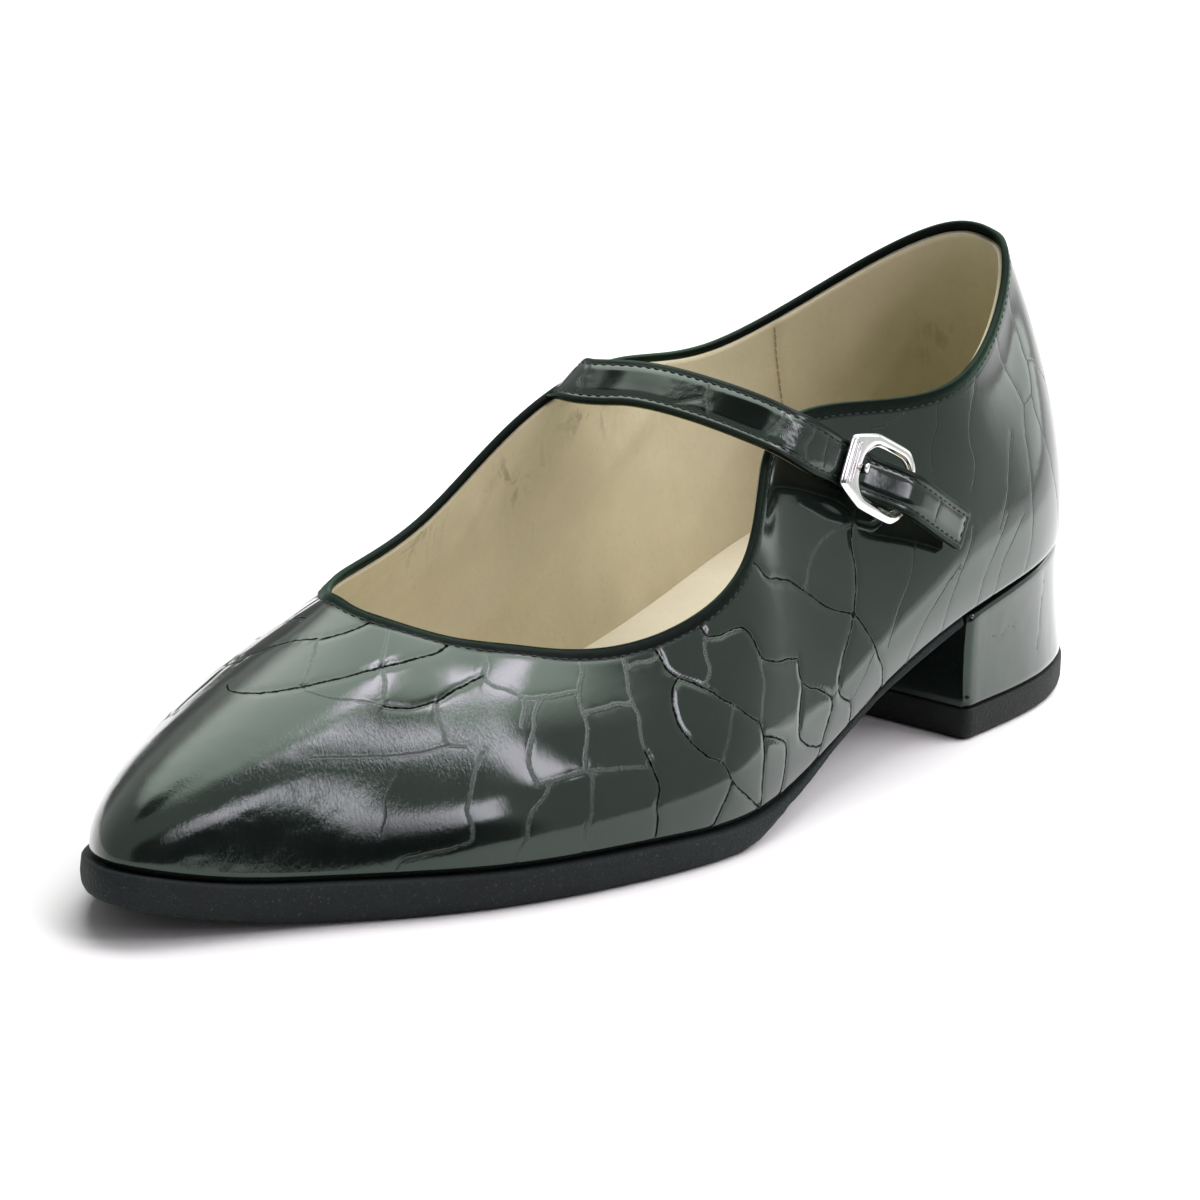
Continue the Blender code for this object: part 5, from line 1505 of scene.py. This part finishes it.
along_tab = (c_tab - B) @ T_DIR
solid = np.where((along_tab < SLOT_FROM) | (st < bend * 0.5))[0]
solid = solid[solid <= (np.where(along_tab >= SLOT_FROM)[0].min() if (along_tab >= SLOT_FROM).any() else len(st))]
slotted = np.arange(solid.max(), len(st))
groups = [tab_strip("a", -1, 1, solid), tab_strip("b", -1, -0.36, slotted), tab_strip("c", 0.46, 1, slotted)]
V_, F_ = [], []
base = 0
for p, f in groups:
    if volume(metres(p) - metres(p).mean(0), f) < 0:
        f = [tuple(reversed(q)) for q in f]
    V_.append(p)
    F_ += [tuple(i + base for i in q) for q in f]
    base += len(p)
Vt = np.vstack(V_)
tabs = piece("buckle_tab_patent", Vt, F_, M_TAB, stands_for=["buckle_tab"],
             attrs={"near": np.clip(0.5 + 0.6 * soft_noise(Vt, 2.0, 66), 0, 0.9) * 0.8, "dark": np.zeros(len(Vt)), "crinkle": np.full(len(Vt), 0.8),
                    "to_line": np.full((len(Vt), 3), 9.0), "edge": np.full(len(Vt), 0.25), "hairy": np.full(len(Vt), 0.9)})

# ------------------------------------------------------- camera, floor, light
CAM_AT = np.array([709.35, 553.45, 285.0]) / 1000     # in the frame's own origin
HEADING, PITCH, ROLL = math.radians(228.28), math.radians(14.72), math.radians(-1.30)
ahead = np.array([math.sin(HEADING), math.cos(HEADING), 0.0])
right = np.array([math.cos(HEADING), -math.sin(HEADING), 0.0])
f0 = ahead * math.cos(PITCH) + np.array([0, 0, -math.sin(PITCH)])
u0 = ahead * math.sin(PITCH) + np.array([0, 0, math.cos(PITCH)])
x_axis = right * math.cos(ROLL) - u0 * math.sin(ROLL)
y_axis = right * math.sin(ROLL) + u0 * math.cos(ROLL)
AIM = np.array([9.0, 3.0, 36.0]) / 1000
f1 = unit(AIM - CAM_AT)
turn = Vector(f0).rotation_difference(Vector(f1)).to_matrix()
cam_data = bpy.data.cameras.new("photo_camera")
cam = bpy.data.objects.new("photo_camera", cam_data)
bpy.context.scene.collection.objects.link(cam)
X1, Y1 = turn @ Vector(x_axis), turn @ Vector(y_axis)
Z1 = -Vector(f1)
cam.matrix_world = Matrix(((X1[0], Y1[0], Z1[0], CAM_AT[0]), (X1[1], Y1[1], Z1[1], CAM_AT[1]),
                           (X1[2], Y1[2], Z1[2], CAM_AT[2]), (0, 0, 0, 1)))
cam_data.sensor_width = 36.0
cam_data.lens = 36.0 * 5250.0 / 1200.0
cam_data.clip_start, cam_data.clip_end = 0.05, 30.0
bpy.context.scene.camera = cam

floor_me = bpy.data.meshes.new("floor")
R = 6.0
floor_me.from_pydata([(-R, -R, 0), (R, -R, 0), (R, R, 0), (-R, R, 0)], [], [(0, 1, 2, 3)])
floor = bpy.data.objects.new("floor", floor_me)
bpy.context.scene.collection.objects.link(floor)
k = Nodes("floor_pale")
k.link(k.mix(k.noise(3.0, 3.0), (0.90, 0.90, 0.90), (0.915, 0.915, 0.91)), k.bsdf.inputs["Base Color"])
k.bsdf.inputs["Roughness"].default_value = 0.9
k.bsdf.inputs["Specular IOR Level"].default_value = 0.15
floor_me.materials.append(k.mat)
floor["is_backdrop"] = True


def towards(az, el):
    """Direction seen from the shoe: az 0 is away from the camera, 90 to its right."""
    a, e = math.radians(az), math.radians(el)
    return (ahead * math.cos(a) + right * math.sin(a)) * math.cos(e) + np.array([0, 0, math.sin(e)])


def lamp(name, az, el, away, wide_, tall_, glow, shows=1, tint=(1, 1, 1)):
    """A rectangular soft light facing the shoe; glow is its brightness."""
    data = bpy.data.lights.new(name, "AREA")
    data.shape = "RECTANGLE"
    data.size, data.size_y = wide_, tall_
    data.energy = glow * 4.0 * wide_ * tall_
    data.color = tint
    ob = bpy.data.objects.new(name, data)
    bpy.context.scene.collection.objects.link(ob)
    at = Vector(np.array([0, 0, 0.03]) + towards(az, el) * away)
    ob.location = at
    ob.rotation_euler = (Vector((0, 0, 0.03)) - at).to_track_quat("-Z", "Y").to_euler()
    ob.visible_glossy = bool(shows)
    return ob


LAMPS = (("name", "az", "el", "away", "wide", "tall", "glow", "seen_in_the_lacquer"),
         ("fill_overhead", 15, 64, 1.7, 1.5, 1.2, 4.3, 0),
         ("side_soft", 120, 48, 1.7, 0.8, 0.8, 1.8, 0),
         ("floor_side_right", 74, 30, 0.46, 0.32, 0.32, 2.6, 0))
for row in LAMPS[1:]:
    lamp(*row)

world = bpy.data.worlds.new("studio")
bpy.context.scene.world = world
world.use_nodes = True
wt = world.node_tree
bg = wt.nodes["Background"]
coord = wt.nodes.new("ShaderNodeTexCoord")


def w_dot(direction):
    n_ = wt.nodes.new("ShaderNodeVectorMath")
    n_.operation = "DOT_PRODUCT"
    wt.links.new(coord.outputs["Generated"], n_.inputs[0])
    n_.inputs[1].default_value = tuple(direction)
    return n_.outputs["Value"]


def w_map(value, a, b, lo, hi):
    n_ = wt.nodes.new("ShaderNodeMapRange")
    n_.interpolation_type = "SMOOTHSTEP"
    wt.links.new(value, n_.inputs["Value"])
    for key, q in (("From Min", a), ("From Max", b), ("To Min", lo), ("To Max", hi)):
        n_.inputs[key].default_value = q
    return n_.outputs["Result"]


def w_math(op, a, b):
    n_ = wt.nodes.new("ShaderNodeMath")
    n_.operation = op
    for s_, q in ((n_.inputs[0], a), (n_.inputs[1], b)):
        if hasattr(q, "is_output"):
            wt.links.new(q, s_)
        else:
            s_.default_value = q
    return n_.outputs[0]


def w_patch(az, el, half_w, half_h, soft, glow):
    """A soft-edged bright panel of the studio; half sizes and edge in degrees."""
    d_ = towards(az, el)
    side_ = unit(np.cross(d_, (0.0, 0.0, 1.0)))
    facing = w_dot(d_)
    value = w_math("MULTIPLY", w_map(facing, 0.2, 0.4, 0.0, 1.0), glow)
    for axis, half_ in ((side_, half_w), (np.cross(side_, d_), half_h)):
        off = w_math("ABSOLUTE", w_math("DIVIDE", w_dot(axis), facing), 0.0)
        a_, b_ = math.tan(math.radians(max(half_ - soft / 2, 0.1))), math.tan(math.radians(half_ + soft / 2))
        value = w_math("MULTIPLY", value, w_map(off, a_, b_, 1.0, 0.0))
    return value


camera_dark = w_map(w_dot(towards(165, 8)), 0.81, 0.93, 1.0, 0.12)
above_dark = w_map(w_dot(towards(-104, 76)), 0.970, 0.990, 1.0, 0.03)
low_dark = w_map(w_dot(towards(137, 5)), 0.950, 0.985, 1.0, 0.12)
behind_dark = w_map(w_dot(towards(-18, 4)), 0.93, 0.985, 1.0, 0.30)
high_glow = w_map(w_dot(towards(22, 64)), 0.74, 0.90, 0.0, 2.5)
low_glow = w_map(w_dot(towards(34, 0)), 0.86, 0.98, 0.0, 1.3)
glow_ = w_math("ADD", w_math("ADD", 0.64, low_glow), high_glow)
PANELS = (("az", "el", "half_wide", "half_tall", "soft", "glow"),
          (111, 50, 4.0, 16.0, 4.0, 6.2),
          (73, 66, 5.5, 5.5, 6.0, 5.5),
          (141, 27, 12.5, 6.5, 4.0, 5.4))
panels = 0.0
for row in PANELS[1:]:
    panels = w_math("ADD", panels, w_patch(*row))
glow_ = w_math("ADD", glow_, panels)
shade = w_math("MULTIPLY", glow_, w_math("MULTIPLY", w_math("MULTIPLY", camera_dark, above_dark), w_math("MULTIPLY", behind_dark, low_dark)))
path_ = wt.nodes.new("ShaderNodeLightPath")
seen = path_.outputs["Is Diffuse Ray"]
shade = w_math("MAXIMUM", shade, path_.outputs["Is Camera Ray"])
mix_ = wt.nodes.new("ShaderNodeMix")
mix_.data_type = "FLOAT"
wt.links.new(seen, mix_.inputs[0])
wt.links.new(shade, mix_.inputs[2])
mix_.inputs[3].default_value = 0.23
wt.links.new(mix_.outputs[0], bg.inputs["Strength"])
# the panels are a little cooler and less green than the room
hue = wt.nodes.new("ShaderNodeMix")
hue.data_type = "RGBA"
wt.links.new(w_map(panels, 0.4, 3.0, 0.0, 1.0), hue.inputs[0])
hue.inputs[6].default_value = (0.975, 1.0, 0.965, 1)
hue.inputs[7].default_value = (1.20, 0.98, 1.20, 1)
wt.links.new(hue.outputs[2], bg.inputs["Color"])

view = bpy.context.scene.view_settings
view.view_transform = "Standard"
view.look = "None"
view.exposure = 0.0
view.gamma = 1.0

lo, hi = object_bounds()
